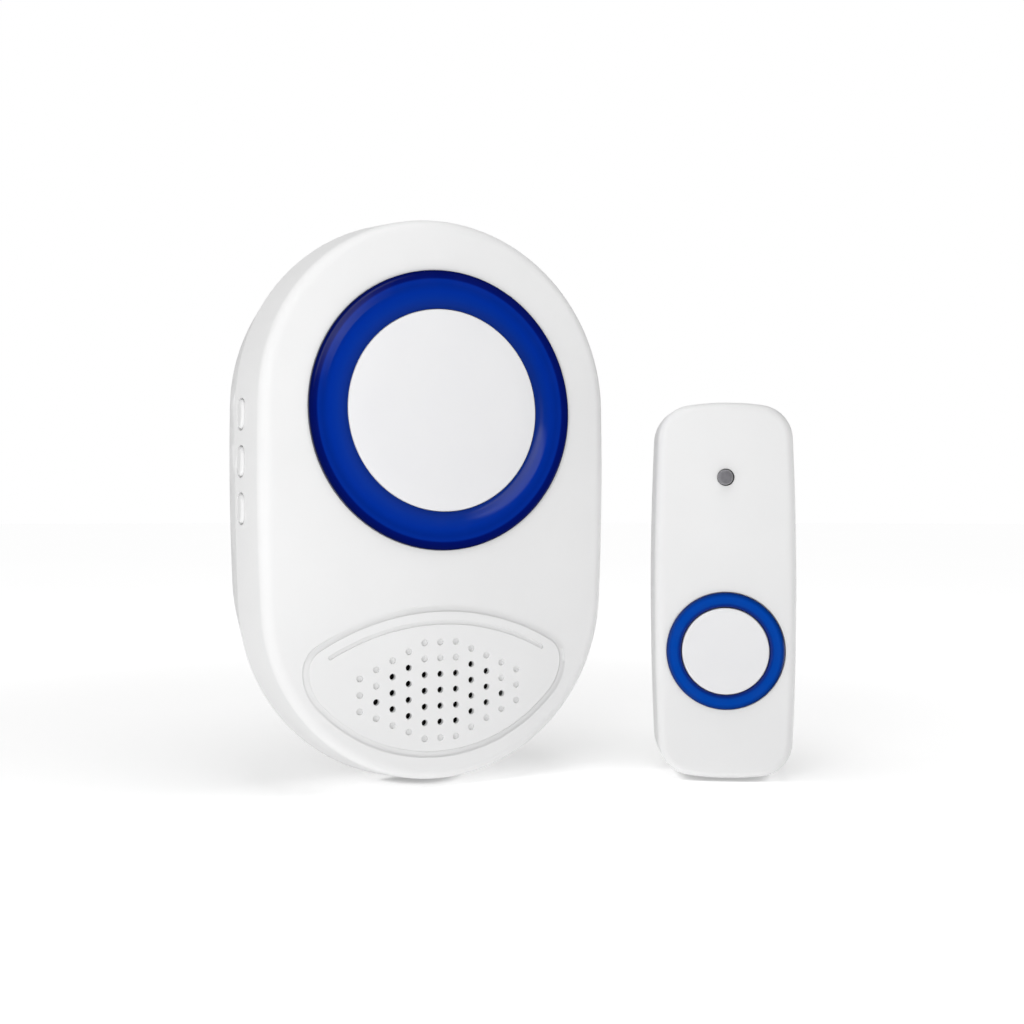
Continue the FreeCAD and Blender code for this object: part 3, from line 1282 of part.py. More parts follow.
def push_front_shell():
    body = new_body("push_front_shell")
    outline = new_sketch(body, "outline", lift=S["plate_depth"])
    draw_lozenge(outline, 0)
    block = raise_pad(body, outline, PUSH_FACE - S["plate_depth"], slope=S["push_draft"])
    round_edges(body, block, S["push_round"], on_plane(-PUSH_FACE.number))
    cavity = new_sketch(body, "cavity", lift=S["plate_depth"])
    draw_lozenge(cavity, S["push_wall"])
    sink_pocket(body, cavity, PUSH_INSIDE - S["plate_depth"], slope=S["push_draft"])
    seat = new_sketch(body, "ring_seat", lift=PUSH_FACE)
    draw_circle(seat, S["push_ring"] + S["fit_gap"])
    sink_pocket(body, seat, S["push_seat"], to_front=False)
    window = new_sketch(body, "window", lift=PUSH_FACE)
    draw_circle(window, S["push_skirt"] + S["fit_gap"])
    draw_circle(window, S["led_hole"] + S["fit_gap"], 0, S["led_rise"])
    sink_pocket(body, window, S["push_wall"], to_front=False)
    posts = new_sketch(body, "posts", lift=PUSH_INSIDE)
    for x, z in PUSH_POSTS:
        draw_circle(posts, S["push_post"], x, z)
    raise_pad(body, posts, PUSH_INSIDE - S["push_board"], to_front=False)
    taps = new_sketch(body, "taps", lift=S["push_board"])
    for x, z in PUSH_POSTS:
        draw_circle(taps, S["small_screw"] + S["fit_gap"] / 2, x, z)
    sink_pocket(body, taps, S["small_grip"])
    ribs = new_sketch(body, "contact_ribs", lift=PUSH_INSIDE)
    half, thick = S["rib_half"], S["rib_thick"]
    below, above = S["battery_start"] - S["plate_thick"], CONTACT_TOP + S["plate_thick"]
    for low, high in ((below - thick, below), (above, above + thick)):
        draw_rectangle(ribs, -S["battery_side"] - half, -S["battery_side"] + half, low, high)
    raise_pad(body, ribs, PUSH_INSIDE - S["rib_foot"], to_front=False)


def push_back_plate():
    body = new_body("push_back_plate")
    outline = new_sketch(body, "outline", lift=ZERO)
    draw_lozenge(outline, S["fit_gap"])
    plate = raise_pad(body, outline, S["plate_depth"] - S["fit_gap"])
    bevel_edges(body, plate, S["plate_bevel"], on_plane(0))
    tongue = new_sketch(body, "tongue", lift=S["plate_depth"] - S["fit_gap"])
    outer = S["push_wall"] + S["guard_gap"]
    draw_lozenge(tongue, outer)
    draw_lozenge(tongue, outer + S["tongue_width"])
    raise_pad(body, tongue, S["tongue_height"])
    holes = new_sketch(body, "holes", lift=ZERO)
    for side in (-1, 1):
        draw_circle(holes, S["plate_hole"], 0, S["push_offset"] + S["plate_spacing"] * side / 2)
    sink_pocket(body, holes, S["plate_depth"])


def push_ring():
    outer, bore = S["push_ring"], S["push_bore"]
    turned_part("push_ring", [
        (outer, S["push_seat"] - PUSH_FACE),
        (outer, -PUSH_FACE - S["push_lip"] / 2),
        (outer - S["push_lip"], -PUSH_FACE - S["push_lip"]),
        (bore + S["push_lip"], -PUSH_FACE - S["push_lip"]),
        (bore, -PUSH_FACE - S["push_lip"] / 2),
        (bore, S["push_guide"] - PUSH_FACE),
        (S["push_skirt"], S["push_guide"] - PUSH_FACE),
        (S["push_skirt"], S["push_seat"] - PUSH_FACE),
    ])


def push_cap():
    """White cap with a flange behind the ring and a stem on the switch plunger."""
    radius = S["push_bore"] - S["slide_gap"]
    top = S["push_board"] + S["push_switch"]
    stem = top + S["plunger_reach"]
    body, cap = turned_part("push_button_cap", [
        (ZERO, -stem),
        (ZERO, -CAP_FRONT),
        (radius, -CAP_FRONT),
        (radius, -CAP_FLANGE),
        (S["cap_flange"], -CAP_FLANGE),
        (S["cap_flange"], S["cap_thick"] - CAP_FLANGE),
        (S["cap_stem"], S["cap_thick"] - CAP_FLANGE),
        (S["cap_stem"], -stem),
    ])
    bevel_edges(body, cap, S["cap_bevel"], ring_edge(-CAP_FRONT.number, radius.number))
    length = S["plunger_reach"] + S["plunger_grip"]
    plunger = make_rod("plunger_push", S["cap_plunger"], length, 0, -stem, 0, Vector(0, 1, 0))
    group("push_plunger", [plunger])
    half = S["switch_size"] / 2
    block = make_box("push_switch_block", -half, half, -top, -S["push_board"], -half, half)
    depth = S["plunger_grip"] + S["push_travel"] + S["guard_gap"]
    well = make_rod("push_switch_well", S["cap_plunger"] + S["fit_gap"] / 2, depth, 0, -top, 0, Vector(0, 1, 0))
    nodes.append(cut_from("push_switch", block, well))


def push_board():
    """The push button's board makes room for the cell beside it."""
    body = new_body("push_circuit_board")
    sketch = new_sketch(body, "outline", lift=S["push_board"] - S["push_sheet"])
    neck = S["battery_radius"] - S["battery_side"] + S["guard_gap"] * 2
    shoulder = S["battery_start"] - S["plate_thick"] - S["battery_step"]
    side, low, head = S["board_half"], -S["board_foot"], S["board_head"]
    draw_polygon(sketch, [
        (-side, low), (side, low), (side, head), (neck, head), (neck, shoulder), (-side, shoulder)])
    for x, z in PUSH_POSTS:
        draw_circle(sketch, S["small_screw"] + S["guard_gap"], x, z)
    raise_pad(body, sketch, S["push_sheet"])
    front = -S["push_board"]
    size, tall = S["push_chip"], S["push_chip_height"]
    first = S["led_rise"] - size * 2 - S["led_radius"]
    second = first - size - S["push_chip_gap"]
    middle = (side + neck) / 2
    chips = [
        make_box("coder_chip", middle - size / 2, middle + size / 2, front - tall, front, first, first + size),
        make_box("radio_chip", middle - size / 2, middle + size / 2, front - tall, front, second, second + size),
    ]
    group("push_chips", chips)
    coil = stood_coil(S["push_coil"])
    coil.rotate(Vector(0, 0, 0), Vector(1, 0, 0), 90)
    coil.translate(Vector(middle.number, front.number, S["push_coil_rise"].number))
    made_part("push_radio_coil", [coil])


def push_parts():
    """The push button's board, lamp, cell, contacts, screws and pad."""
    push_board()
    turned_part("push_indicator_lamp", [
        (ZERO, -S["push_board"]), (ZERO, -PUSH_FACE - S["led_dome"]),
        (S["led_hole"] / 2, -PUSH_FACE - S["dome_shoulder"]), (S["led_hole"], -PUSH_FACE),
        (S["led_hole"], S["push_wall"] - PUSH_FACE), (S["led_radius"], S["push_wall"] - PUSH_FACE),
        (S["led_radius"], -S["push_board"])], lift=S["led_rise"])
    spots = [(x, S["push_sheet"] - S["push_board"], z) for x, z in PUSH_POSTS]
    screw_set("push_board_screws", S["small_screw"], S["small_grip"], S["small_head"], S["small_height"], spots)
    x, y = -S["battery_side"], -S["battery_set"]
    start = S["battery_start"]
    up, step = Vector(0, 0, 1), S["battery_step"]
    long_part = make_rod("battery_can", S["battery_radius"], S["battery_length"] - step, x, y, start + step, up)
    nub = make_rod("battery_tip", S["battery_nub"], step * 2, x, y, start, up)
    cell_fuse = doc.addObject("Part::Fuse", "push_cell")
    cell_fuse.Base, cell_fuse.Tool = long_part, nub
    cell_fuse.Label = "push_cell"
    nodes.append(cell_fuse)
    size = S["battery_plate"] / 2
    plate = S["plate_thick"]
    plates = [
        make_box("push_plate_low", x - size, x + size, y - size, y + size, start - plate, start),
        make_box("push_plate_high", x - size, x + size, y - size, y + size, CONTACT_TOP, CONTACT_TOP + plate),
    ]
    group("push_cell_plates", plates)
    wire = S["wire_radius"].number
    spring = coil_shape(S["spring_tip"].number, S["spring_radius"].number, S["battery_spring"].number - 2 * wire,
                        S["spring_turns"].number, wire)
    spring.translate(Vector(x.number, y.number, BATTERY_END.number + wire))
    made_part("push_cell_spring", [spring])
    half, tall = S["pad_width"] / 2, S["pad_height"] / 2
    pad = make_box("foam_pad", -half, half, 0, S["pad_thick"], S["push_offset"] - tall, S["push_offset"] + tall)
    group("push_adhesive_pad", [pad])


def build_push_button():
    push_front_shell()
    push_back_plate()
    push_ring()
    push_cap()
    push_parts()


def stand_receiver():
    """Move the receiver's pieces so that the keyhole's mouth is the origin."""
    for piece in nodes:
        if piece.Label.startswith("speaker_"):
            bind(piece, "Placement.Base.x", -S["panel_shift"])
            place_receiver(piece, ZERO, -SPEAKER_DROP)
        elif piece.Label.startswith(("side_button_", "battery_cell_")):
            continue
        elif piece.TypeId == "PartDesign::Body":
            place_receiver(piece)
        else:
            piece.Placement = Placement(Vector(0, 0, -S["keyhole_rise"].number), Rotation()) * piece.Placement


def stand_push_button(pieces):
    """Turn the push button and stand it on the ground that the receiver's lowest point touches."""
    floor = -S["bottom_drop"].number - S["bottom_radius"].number - S["keyhole_rise"].number
    lowest = S["push_offset"].number - S["push_height"].number / 2
    spot = Vector(S["push_x"].number, -S["push_y"].number, floor - lowest)
    stand = Placement(spot, Rotation(Vector(0, 0, 1), -S["push_turn"].number))
    for piece in pieces:
        piece.Placement = stand * piece.Placement


build_receiver()
doc.recompute()
stand_receiver()
receiver_nodes = list(nodes)
build_push_button()
doc.recompute()
stand_push_button([piece for piece in nodes if piece not in receiver_nodes])
doc.recompute()

for thing in doc.Objects:
    if "Invalid" in thing.State or "Error" in thing.State:
        raise ValueError("%s failed: %s" % (thing.Name, thing.State))
os.makedirs("parts", exist_ok=True)
for piece in nodes:
    if piece.Shape.isNull() or not piece.Shape.isValid():
        raise ValueError(piece.Label + " has no valid shape")
for piece in nodes:
    piece.Shape.exportStep("parts/%s.step" % piece.Label)
print("%d pieces written" % len(nodes))
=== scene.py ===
"""Looks of a wireless doorbell: a receiver with a blue light ring, and its push button standing beside it.

Sizes are millimetres in the fields of the doorbell's pieces, and metres in the meshes and in the studio. Every place
comes from the frame.
"""

import json
import logging
import math
from collections.abc import Sequence
from dataclasses import dataclass, field
from enum import Enum

import bmesh
import bpy
from mathutils import Matrix, Vector


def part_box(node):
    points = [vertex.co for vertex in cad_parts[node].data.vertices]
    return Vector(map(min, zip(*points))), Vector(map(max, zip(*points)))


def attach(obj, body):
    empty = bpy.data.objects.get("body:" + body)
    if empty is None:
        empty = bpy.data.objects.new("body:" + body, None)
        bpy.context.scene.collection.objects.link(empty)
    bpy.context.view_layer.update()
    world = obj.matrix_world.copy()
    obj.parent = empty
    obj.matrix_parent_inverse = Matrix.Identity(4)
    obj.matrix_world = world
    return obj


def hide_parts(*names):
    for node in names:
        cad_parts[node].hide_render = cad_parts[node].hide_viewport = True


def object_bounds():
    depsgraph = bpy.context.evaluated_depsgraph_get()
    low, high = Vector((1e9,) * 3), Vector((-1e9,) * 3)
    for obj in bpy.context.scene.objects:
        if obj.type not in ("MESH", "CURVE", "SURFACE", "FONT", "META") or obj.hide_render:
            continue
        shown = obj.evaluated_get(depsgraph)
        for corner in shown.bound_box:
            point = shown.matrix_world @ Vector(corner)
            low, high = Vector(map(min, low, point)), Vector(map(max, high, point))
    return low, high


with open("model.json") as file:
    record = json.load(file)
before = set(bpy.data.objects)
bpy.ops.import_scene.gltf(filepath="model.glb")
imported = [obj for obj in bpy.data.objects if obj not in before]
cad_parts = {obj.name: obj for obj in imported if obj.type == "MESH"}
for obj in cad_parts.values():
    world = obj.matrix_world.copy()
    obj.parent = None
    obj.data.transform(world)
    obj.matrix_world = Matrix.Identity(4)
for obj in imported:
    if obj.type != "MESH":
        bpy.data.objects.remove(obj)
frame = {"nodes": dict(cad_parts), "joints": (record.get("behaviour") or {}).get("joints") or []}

# Short names of the types that the signatures use most.
BMesh = bmesh.types.BMesh
Socket, Tree = bpy.types.NodeSocket, bpy.types.NodeTree

CAD_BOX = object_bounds()
MM = 0.001
FULL_TURN = math.tau
# Distances in metres within which two points are one, and within which a point lies on a circle.
WELD, ON_CIRCLE = 1e-6, 5e-6
# Angle in degrees within which two triangles are one flat face.
FLAT = 0.3
# Level bands that a side wall is cut into, and the most that its normals point forward and upward.
BANDS, WALL_LEAN, WALL_RISE = 24, 0.2, 0.9
# Least share of a normal along the Y axis on the flat top of a screw.
FACING = 0.99
# How many times finer the unevenness of the gloss is than the blotches of colour.
FINER = 3
# The sRGB curve: where its straight part ends, how steep that part is, and the offset and power of the rest.
KNEE, SLOPE, OFFSET, POWER = 0.04045, 12.92, 0.055, 2.4

log = logging.getLogger("doorbell")


def linear(colour: str) -> tuple[float, float, float, float]:
    """Turns an sRGB hex colour into the linear colour that a shader takes.

    Args:
        colour: Six hex digits after a hash mark.

    Returns:
        Red, green and blue in linear light, and an alpha of one.
    """
    channels = [int(colour[place:place + 2], 16) / 255 for place in (1, 3, 5)]
    curve = [c / SLOPE if c <= KNEE else ((c + OFFSET) / (1 + OFFSET)) ** POWER for c in channels]
    return (curve[0], curve[1], curve[2], 1.0)


def add_node(tree: Tree, kind: str, settings: dict | None = None, values: dict | None = None,
             links: dict | None = None) -> bpy.types.Node:
    """Adds one node with its settings, its socket values and the sockets that feed it.

    Args:
        tree: The node tree of a material or of the world.
        kind: The node's type.
        settings: Attribute values of the node.
        values: Socket values, by socket name or number.
        links: Output sockets that feed its inputs, by input name or number.

    Returns:
        The new node.
    """
    node = tree.nodes.new(kind)
    for name, value in (settings or {}).items():
        setattr(node, name, value)
    for name, value in (values or {}).items():
        node.inputs[name].default_value = value
    for name, source in (links or {}).items():
        tree.links.new(source, node.inputs[name])
    return node


def add_ramp(tree: Tree, source: Socket,
             stops: Sequence[tuple[float, str]]) -> Socket:
    """Adds a colour ramp.

    Args:
        tree: The material's node tree.
        source: What runs along the ramp, from 0 to 1.
        stops: Places along the ramp and their colours.

    Returns:
        The ramp's colour output.
    """
    ramp = add_node(tree, "ShaderNodeValToRGB", links={"Fac": source})
    elements = ramp.color_ramp.elements
    while len(elements) < len(stops):
        elements.new(1.0)
    for element, (place, colour) in zip(elements, stops):
        element.position = place
        element.color = linear(colour)
    return ramp.outputs["Color"]


def spread(tree: Tree, source: Socket, low: float, high: float,
           start: float = 0.3, end: float = 0.7) -> Socket:
    """Maps a pattern from start..end to low..high.

    Args:
        tree: The material's node tree.
        source: The pattern.
        low: The value at the start.
        high: The value at the end.
        start: Pattern value that gives low.
        end: Pattern value that gives high.

    Returns:
        The mapped value.
    """
    node = add_node(tree, "ShaderNodeMapRange", links={"Value": source}, values={
        "From Min": start, "From Max": end, "To Min": low, "To Max": high})
    return node.outputs["Result"]


def combine(tree: Tree, operation: str, first: Socket,
            second: Socket) -> Socket:
    """Joins two values by one step of arithmetic."""
    return add_node(tree, "ShaderNodeMath", {"operation": operation}, links={0: first, 1: second}).outputs["Value"]


@dataclass(frozen=True)
class Finish:
    """A surface finish: its colours, its gloss and its fine grain, with lengths in millimetres."""

    name: str
    colour: str
    shade: str
    roughness: float
    grain: float = 0.5
    depth: float = 0.004
    mottle: float = 12.0
    rough_change: float = 0.04
    specular: float = 0.5
    ior: float = 1.5
    metallic: float = 0.0
    coat: float = 0.0
    coat_roughness: float = 0.05
    edge: float = 0.0
    edge_samples: int = 6

    def start(self) -> tuple[bpy.types.Material, Tree, bpy.types.Node, Socket]:
        """Makes the empty material.

        Returns:
            The material, its tree, its shader node and the object coordinates.
        """
        material = bpy.data.materials.new(self.name)
        material.use_nodes = True
        tree = material.node_tree
        shader = tree.nodes["Principled BSDF"]
        shader.inputs["Base Color"].default_value = linear(self.colour)
        shader.inputs["Metallic"].default_value = self.metallic
        shader.inputs["Coat Weight"].default_value = self.coat
        shader.inputs["Coat Roughness"].default_value = self.coat_roughness
        if not self.metallic:
            shader.inputs["IOR"].default_value = self.ior
            shader.inputs["Specular IOR Level"].default_value = self.specular
        place = add_node(tree, "ShaderNodeTexCoord").outputs["Object"]
        return material, tree, shader, place

    def noise(self, tree: Tree, place: Socket, size: float,
              detail: float = 2.0) -> Socket:
        """Adds a noise pattern.

        Args:
            tree: The material's node tree.
            place: Coordinates in metres.
            size: Size of its blotches in millimetres.
            detail: How many finer layers it has.

        Returns:
            The noise value, from 0 to 1.
        """
        node = add_node(tree, "ShaderNodeTexNoise", links={"Vector": place},
                        values={"Scale": 1 / (size * MM), "Detail": detail})
        return node.outputs["Fac"]

    def tint(self, tree: Tree, place: Socket) -> Socket:
        """Gives the colour pattern: two near shades in soft blotches."""
        blotch = spread(tree, self.noise(tree, place, self.mottle), 0.0, 1.0)
        return add_ramp(tree, blotch, [(0.0, self.colour), (1.0, self.shade)])

    def relief(self, tree: Tree, place: Socket) -> Socket:
        """Gives the height pattern: fine grain."""
        return self.noise(tree, place, self.grain)

    def make(self) -> bpy.types.Material:
        """Builds the material.

        Returns:
            The finished material.
        """
        material, tree, shader, place = self.start()
        tree.links.new(self.tint(tree, place), shader.inputs["Base Color"])
        uneven = self.noise(tree, place, self.mottle / FINER)
        rough = spread(tree, uneven, self.roughness - self.rough_change, self.roughness + self.rough_change)
        tree.links.new(rough, shader.inputs["Roughness"])
        bump = add_node(tree, "ShaderNodeBump", links={"Height": self.relief(tree, place)},
                        values={"Strength": 1.0, "Distance": self.depth * MM})
        if self.edge:
            soft = add_node(tree, "ShaderNodeBevel", {"samples": self.edge_samples}, {"Radius": self.edge * MM})
            tree.links.new(soft.outputs["Normal"], bump.inputs["Normal"])
        tree.links.new(bump.outputs["Normal"], shader.inputs["Normal"])
        return material


@dataclass(frozen=True)
class RingTintAndShade(Finish):
    """Clear-tinted acrylic in colour bands from bore to rim; the darker bands at its edges are painted shade."""

    bands: tuple[tuple[float, str], ...] = ()
    centre: tuple[float, float, float] = (0.0, 0.0, 0.0)
    turn: float = 0.0

    def tint(self, tree: Tree, place: Socket) -> Socket:
        """Gives the colour pattern: bands by distance from the ring's own axis.

        Args:
            tree: The material's node tree.
            place: Coordinates in metres.

        Returns:
            The colour.
        """
        inner, outer = self.bands[0][0], self.bands[-1][0]
        local = add_node(tree, "ShaderNodeMapping", {"vector_type": "TEXTURE"},
                         {"Location": self.centre, "Rotation": (0.0, 0.0, self.turn)}, {"Vector": place})
        flat = add_node(tree, "ShaderNodeVectorMath", {"operation": "MULTIPLY"}, {1: (1.0, 0.0, 1.0)},
                        {0: local.outputs["Vector"]})
        reach = add_node(tree, "ShaderNodeVectorMath", {"operation": "LENGTH"}, links={0: flat.outputs["Vector"]})
        along = spread(tree, reach.outputs["Value"], 0.0, 1.0, inner * MM, outer * MM)
        stops = [((radius - inner) / (outer - inner), colour) for radius, colour in self.bands]
        return add_ramp(tree, along, stops)


@dataclass(frozen=True)
class Wound(Finish):
    """Wire wound side by side: fine ridges along one axis."""

    pitch: float = 0.5

    def relief(self, tree: Tree, place: Socket) -> Socket:
        """Gives the height pattern: one ridge for each turn of wire."""
        wave = add_node(tree, "ShaderNodeTexWave", {"wave_type": "BANDS", "bands_direction": "Y"},
                        {"Scale": 1 / (self.pitch * MM) / FULL_TURN}, {"Vector": place})
        return wave.outputs["Fac"]


@dataclass(frozen=True)
class Traced(Finish):
    """Solder mask over copper tracks: squares of raised mask with lines between."""

    track: float = 2.4

    def relief(self, tree: Tree, place: Socket) -> Socket:
        """Gives the height pattern: cells with straight borders, as tracks have."""
        cells = add_node(tree, "ShaderNodeTexVoronoi", {"distance": "CHEBYCHEV", "feature": "F1"},
                         {"Scale": 1 / (self.track * MM)}, {"Vector": place})
        return cells.outputs["Distance"]


@dataclass(frozen=True)
class Banded(Finish):
    """Printed film round a battery cell: a coloured band at the nub's end and a plain body."""

    centre: tuple[float, float, float] = (0.0, 0.0, 0.0)
    run: tuple[float, float, float] = (1.0, 0.0, 0.0)
    length: float = 44.5
    band_end: float = 0.27
    body_start: float = 0.28

    def tint(self, tree: Tree, place: Socket) -> Socket:
        """Gives the colour pattern: bands along the cell.

        Args:
            tree: The material's node tree.
            place: Coordinates in metres.

        Returns:
            The colour.
        """
        local = add_node(tree, "ShaderNodeVectorMath", {"operation": "SUBTRACT"}, {1: self.centre}, {0: place})
        along = add_node(tree, "ShaderNodeVectorMath", {"operation": "DOT_PRODUCT"}, {1: self.run},
                         {0: local.outputs["Vector"]})
        half = self.length * MM / 2
        share = spread(tree, along.outputs["Value"], 0.0, 1.0, -half, half)
        stops = [(0.0, self.shade), (self.band_end, self.shade), (self.body_start, self.colour), (1.0, self.colour)]
        return add_ramp(tree, share, stops)


# Injection-moulded white ABS with a satin spark-eroded face: reads as a neutral near-white housing without glare.
SHELL = Finish("injection_moulded_white_abs", "#ECECEC", "#E8E8E8", 0.42, grain=0.45, depth=0.0012, mottle=30.0,
               edge=0.18)
# Polished white ABS: a shade smoother than the shells, so the disc and the cap look like separate mouldings.
DISC = Finish("polished_white_abs", "#EAEAEB", "#E7E7E9", 0.36, grain=0.6, depth=0.0006, mottle=24.0)
# Matt white ABS of the reflector: an even white with no shine, behind the ring.
DIFFUSER = Finish("matt_white_diffuser_abs", "#F0F0EE", "#E6E6E2", 0.6, grain=0.8, depth=0.01, mottle=9.0)
# Potted light-emitting diode: pale yellow phosphor in a white cup.
LIGHT_CHIP = Finish("phosphor_led_package", "#EFE6B4", "#F4F1DC", 0.35, grain=0.6, depth=0.01, mottle=1.6)
# Glass-epoxy laminate under green solder mask, with raised tracks.
BOARD = Traced("solder_masked_glass_epoxy", "#1E5B34", "#2C7344", 0.38, depth=0.06, mottle=3.0)
# Transfer-moulded black epoxy of the chips: dull black blocks.
CHIP = Finish("moulded_black_epoxy", "#17181A", "#222326", 0.55, grain=0.3, depth=0.006, mottle=3.0)
# Enamelled copper wire of the coils: warm red-brown metal with fine ridges.
COPPER = Wound("enamelled_copper_wire", "#B4653A", "#8E4524", 0.28, metallic=1.0, mottle=1.5, pitch=0.7, depth=0.03)
# Zinc-plated steel screws: cool grey metal, finely mottled.
STEEL = Finish("zinc_plated_steel", "#A9ADB2", "#8F949B", 0.3, grain=0.4, depth=0.004, mottle=2.0, metallic=1.0)
# Nickel-plated spring steel of the contacts: bright and slightly warm.
NICKEL = Finish("nickel_plated_spring_steel", "#C2BDB2", "#A9A499", 0.24, grain=0.3, depth=0.003, mottle=3.0,
                metallic=1.0)
# Plated magnet pot of the speaker: duller and darker than the screws.
MAGNET = Finish("zinc_plated_magnet_pot", "#9FA3A8", "#85898F", 0.36, grain=0.5, depth=0.006, mottle=4.0,
                metallic=1.0)
# Glass-filled nylon of the switch blocks: near-black with a soft sheen.
SWITCH = Finish("moulded_black_nylon", "#1C1C1E", "#28282B", 0.48, grain=0.4, depth=0.006, mottle=3.0)
# Moulded grey acetal of the plungers: a waxy mid grey.
PLUNGER = Finish("moulded_grey_acetal", "#7D8084", "#8C8F93", 0.4, grain=0.4, depth=0.004, mottle=2.0)
# Closed-cell foams of the gasket and the pad: pores catch the light.
BLACK_FOAM = Finish("black_closed_cell_foam", "#1D1D1D", "#2B2B2B", 0.9, grain=0.5, depth=0.12, mottle=1.0)
WHITE_FOAM = Finish("white_closed_cell_foam", "#E9E8E3", "#DAD8D0", 0.9, grain=0.5, depth=0.12, mottle=1.0)
# Pressed paper pulp of the speaker cone: fibrous charcoal that the open holes show as black.
CONE = Finish("pressed_paper_pulp", "#24211F", "#39342F", 0.85, grain=0.4, depth=0.05, mottle=1.5)
# Smoked clear acrylic of the indicator: mid grey with a sharp highlight.
SMOKED = Finish("smoked_clear_acrylic", "#7F7E82", "#737276", 0.12, grain=2.0, depth=0.0005, mottle=1.0, coat=0.6)


@dataclass(frozen=True)
class Corner:
    """A corner of a turned profile, in millimetres: distance from the axis, place along it, and rounding."""

    radius: float
    level: float
    rounding: float = 0.0


def placed(centre: Vector, turn: float = 0.0) -> Matrix:
    """Gives the matrix that moves a piece's origin to its centre and turns it about the vertical, in radians."""
    return Matrix.Translation(centre) @ Matrix.Rotation(turn, 4, "Z")


def turned(profile: Sequence[Corner], steps: int = 128, closed: bool = False, segments: int = 4) -> BMesh:
    """Spins a profile about the Y axis and rounds its corners.

    Args:
        profile: The corners, in order.
        steps: Faces round the circle.
        closed: Whether the last corner joins the first, as on a ring.
        segments: Faces across each rounding.

    Returns:
        The turned mesh about the origin, in metres.
    """
    mesh = bmesh.new()
    points = [mesh.verts.new((corner.radius * MM, corner.level * MM, 0.0)) for corner in profile]
    pairs = list(zip(points, points[1:]))
    if closed:
        pairs.append((points[-1], points[0]))
    lines = [mesh.edges.new(pair) for pair in pairs]
    bmesh.ops.spin(mesh, geom=points + lines, cent=(0, 0, 0), axis=(0, 1, 0), dvec=(0, 0, 0), angle=FULL_TURN,
                   steps=steps, use_merge=True, use_normal_flip=False, use_duplicate=False)
    bmesh.ops.remove_doubles(mesh, verts=mesh.verts, dist=WELD)
    bmesh.ops.recalc_face_normals(mesh, faces=mesh.faces)
    for corner in profile:
        if corner.rounding:
            round_circle(mesh, corner, segments)
    return mesh


def aimed(centre: Vector, towards: Vector) -> Matrix:
    """Gives the matrix that moves a piece's origin to its centre and points its Y axis along a direction."""
    return Matrix.Translation(centre) @ Vector((0.0, 1.0, 0.0)).rotation_difference(towards).to_matrix().to_4x4()


def round_circle(mesh: BMesh, corner: Corner, segments: int) -> None:
    """Rounds the circle that one corner of a profile has left.

    Args:
        mesh: The turned mesh.
        corner: The corner.
        segments: Faces across the rounding.
    """

    def on_circle(vert: bmesh.types.BMVert) -> bool:
        """Tells whether a point lies on the corner's circle."""
        out = math.hypot(vert.co.x, vert.co.z) - corner.radius * MM
        return abs(out) < ON_CIRCLE and abs(vert.co.y - corner.level * MM) < ON_CIRCLE

    circle = [edge for edge in mesh.edges if all(on_circle(vert) for vert in edge.verts)]
    round_edges(mesh, circle, corner.rounding, segments)


def round_edges(mesh: BMesh, edges: list[bmesh.types.BMEdge], rounding: float, segments: int) -> None:
    """Rounds edges by a radius in millimetres."""
    bmesh.ops.bevel(mesh, geom=edges, offset=rounding * MM, offset_type="OFFSET", segments=segments, profile=0.5,
                    affect="EDGES", clamp_overlap=True, material=-1)


def add_pill(mesh: BMesh, length: float, radius: float, start: float, end: float,
             rounding: float) -> None:
    """Adds an upright pill-shaped slab along the Z axis, its near rim rounded over.

    Args:
        mesh: The mesh that it joins.
        length: Its length along X in millimetres.
        radius: Radius of its ends in millimetres.
        start: Level of the rounded face in millimetres.
        end: Level of the flat face in millimetres.
        rounding: Rounding of the near rim in millimetres.
    """
    reach = (length / 2 - radius) * MM
    made = bmesh.ops.create_circle(mesh, cap_ends=True, segments=48, radius=radius * MM)
    for vert in made["verts"]:
        vert.co.x += math.copysign(reach, vert.co.x)
        vert.co.z = end * MM
    face = next(iter(made["verts"][0].link_faces))
    near = bmesh.ops.extrude_face_region(mesh, geom=[face], use_keep_orig=True)["geom"]
    rim = [item for item in near if isinstance(item, bmesh.types.BMVert)]
    bmesh.ops.translate(mesh, verts=rim, vec=(0.0, 0.0, (start - end) * MM))
    round_edges(mesh, [item for item in near if isinstance(item, bmesh.types.BMEdge)], rounding, segments=6)
    bmesh.ops.recalc_face_normals(mesh, faces=mesh.faces)


class Shading(Enum):
    """How far apart two faces may turn before their edge is drawn sharp, in degrees."""

    SOFT = 50
    MOULDED = 35


def finish_piece(name: str, mesh: BMesh, materials: Sequence[bpy.types.Material], body: str,
                 node: str, shading: Shading = Shading.MOULDED, evenness: int = 60) -> bpy.types.Object:
    """Turns a mesh into a piece of the doorbell.

    Args:
        name: The piece's name.
        mesh: Its mesh, already in place, which this frees.
        materials: Its materials, in the order of its faces' numbers.
        body: The body that it rides on.
        node: The frame's node that it stands for.
        shading: Which edges are sharp.
        evenness: How much the large faces set the shading of the edges beside them; 50 weighs them by area.

    Returns:
        The new object.
    """
    data = bpy.data.meshes.new(name)
    mesh.to_mesh(data)
    mesh.free()
    data.polygons.foreach_set("use_smooth", [True] * len(data.polygons))
    data.set_sharp_from_angle(angle=math.radians(shading.value))
    for material in materials:
        data.materials.append(material)
    piece = bpy.data.objects.new(name, data)
    bpy.context.scene.collection.objects.link(piece)
    weighted = piece.modifiers.new("even_normals", "WEIGHTED_NORMAL")
    weighted.keep_sharp = True
    weighted.weight = evenness
    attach(piece, body)
    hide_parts(node)
    log.info("%s: %d faces", name, len(data.polygons))
    return piece


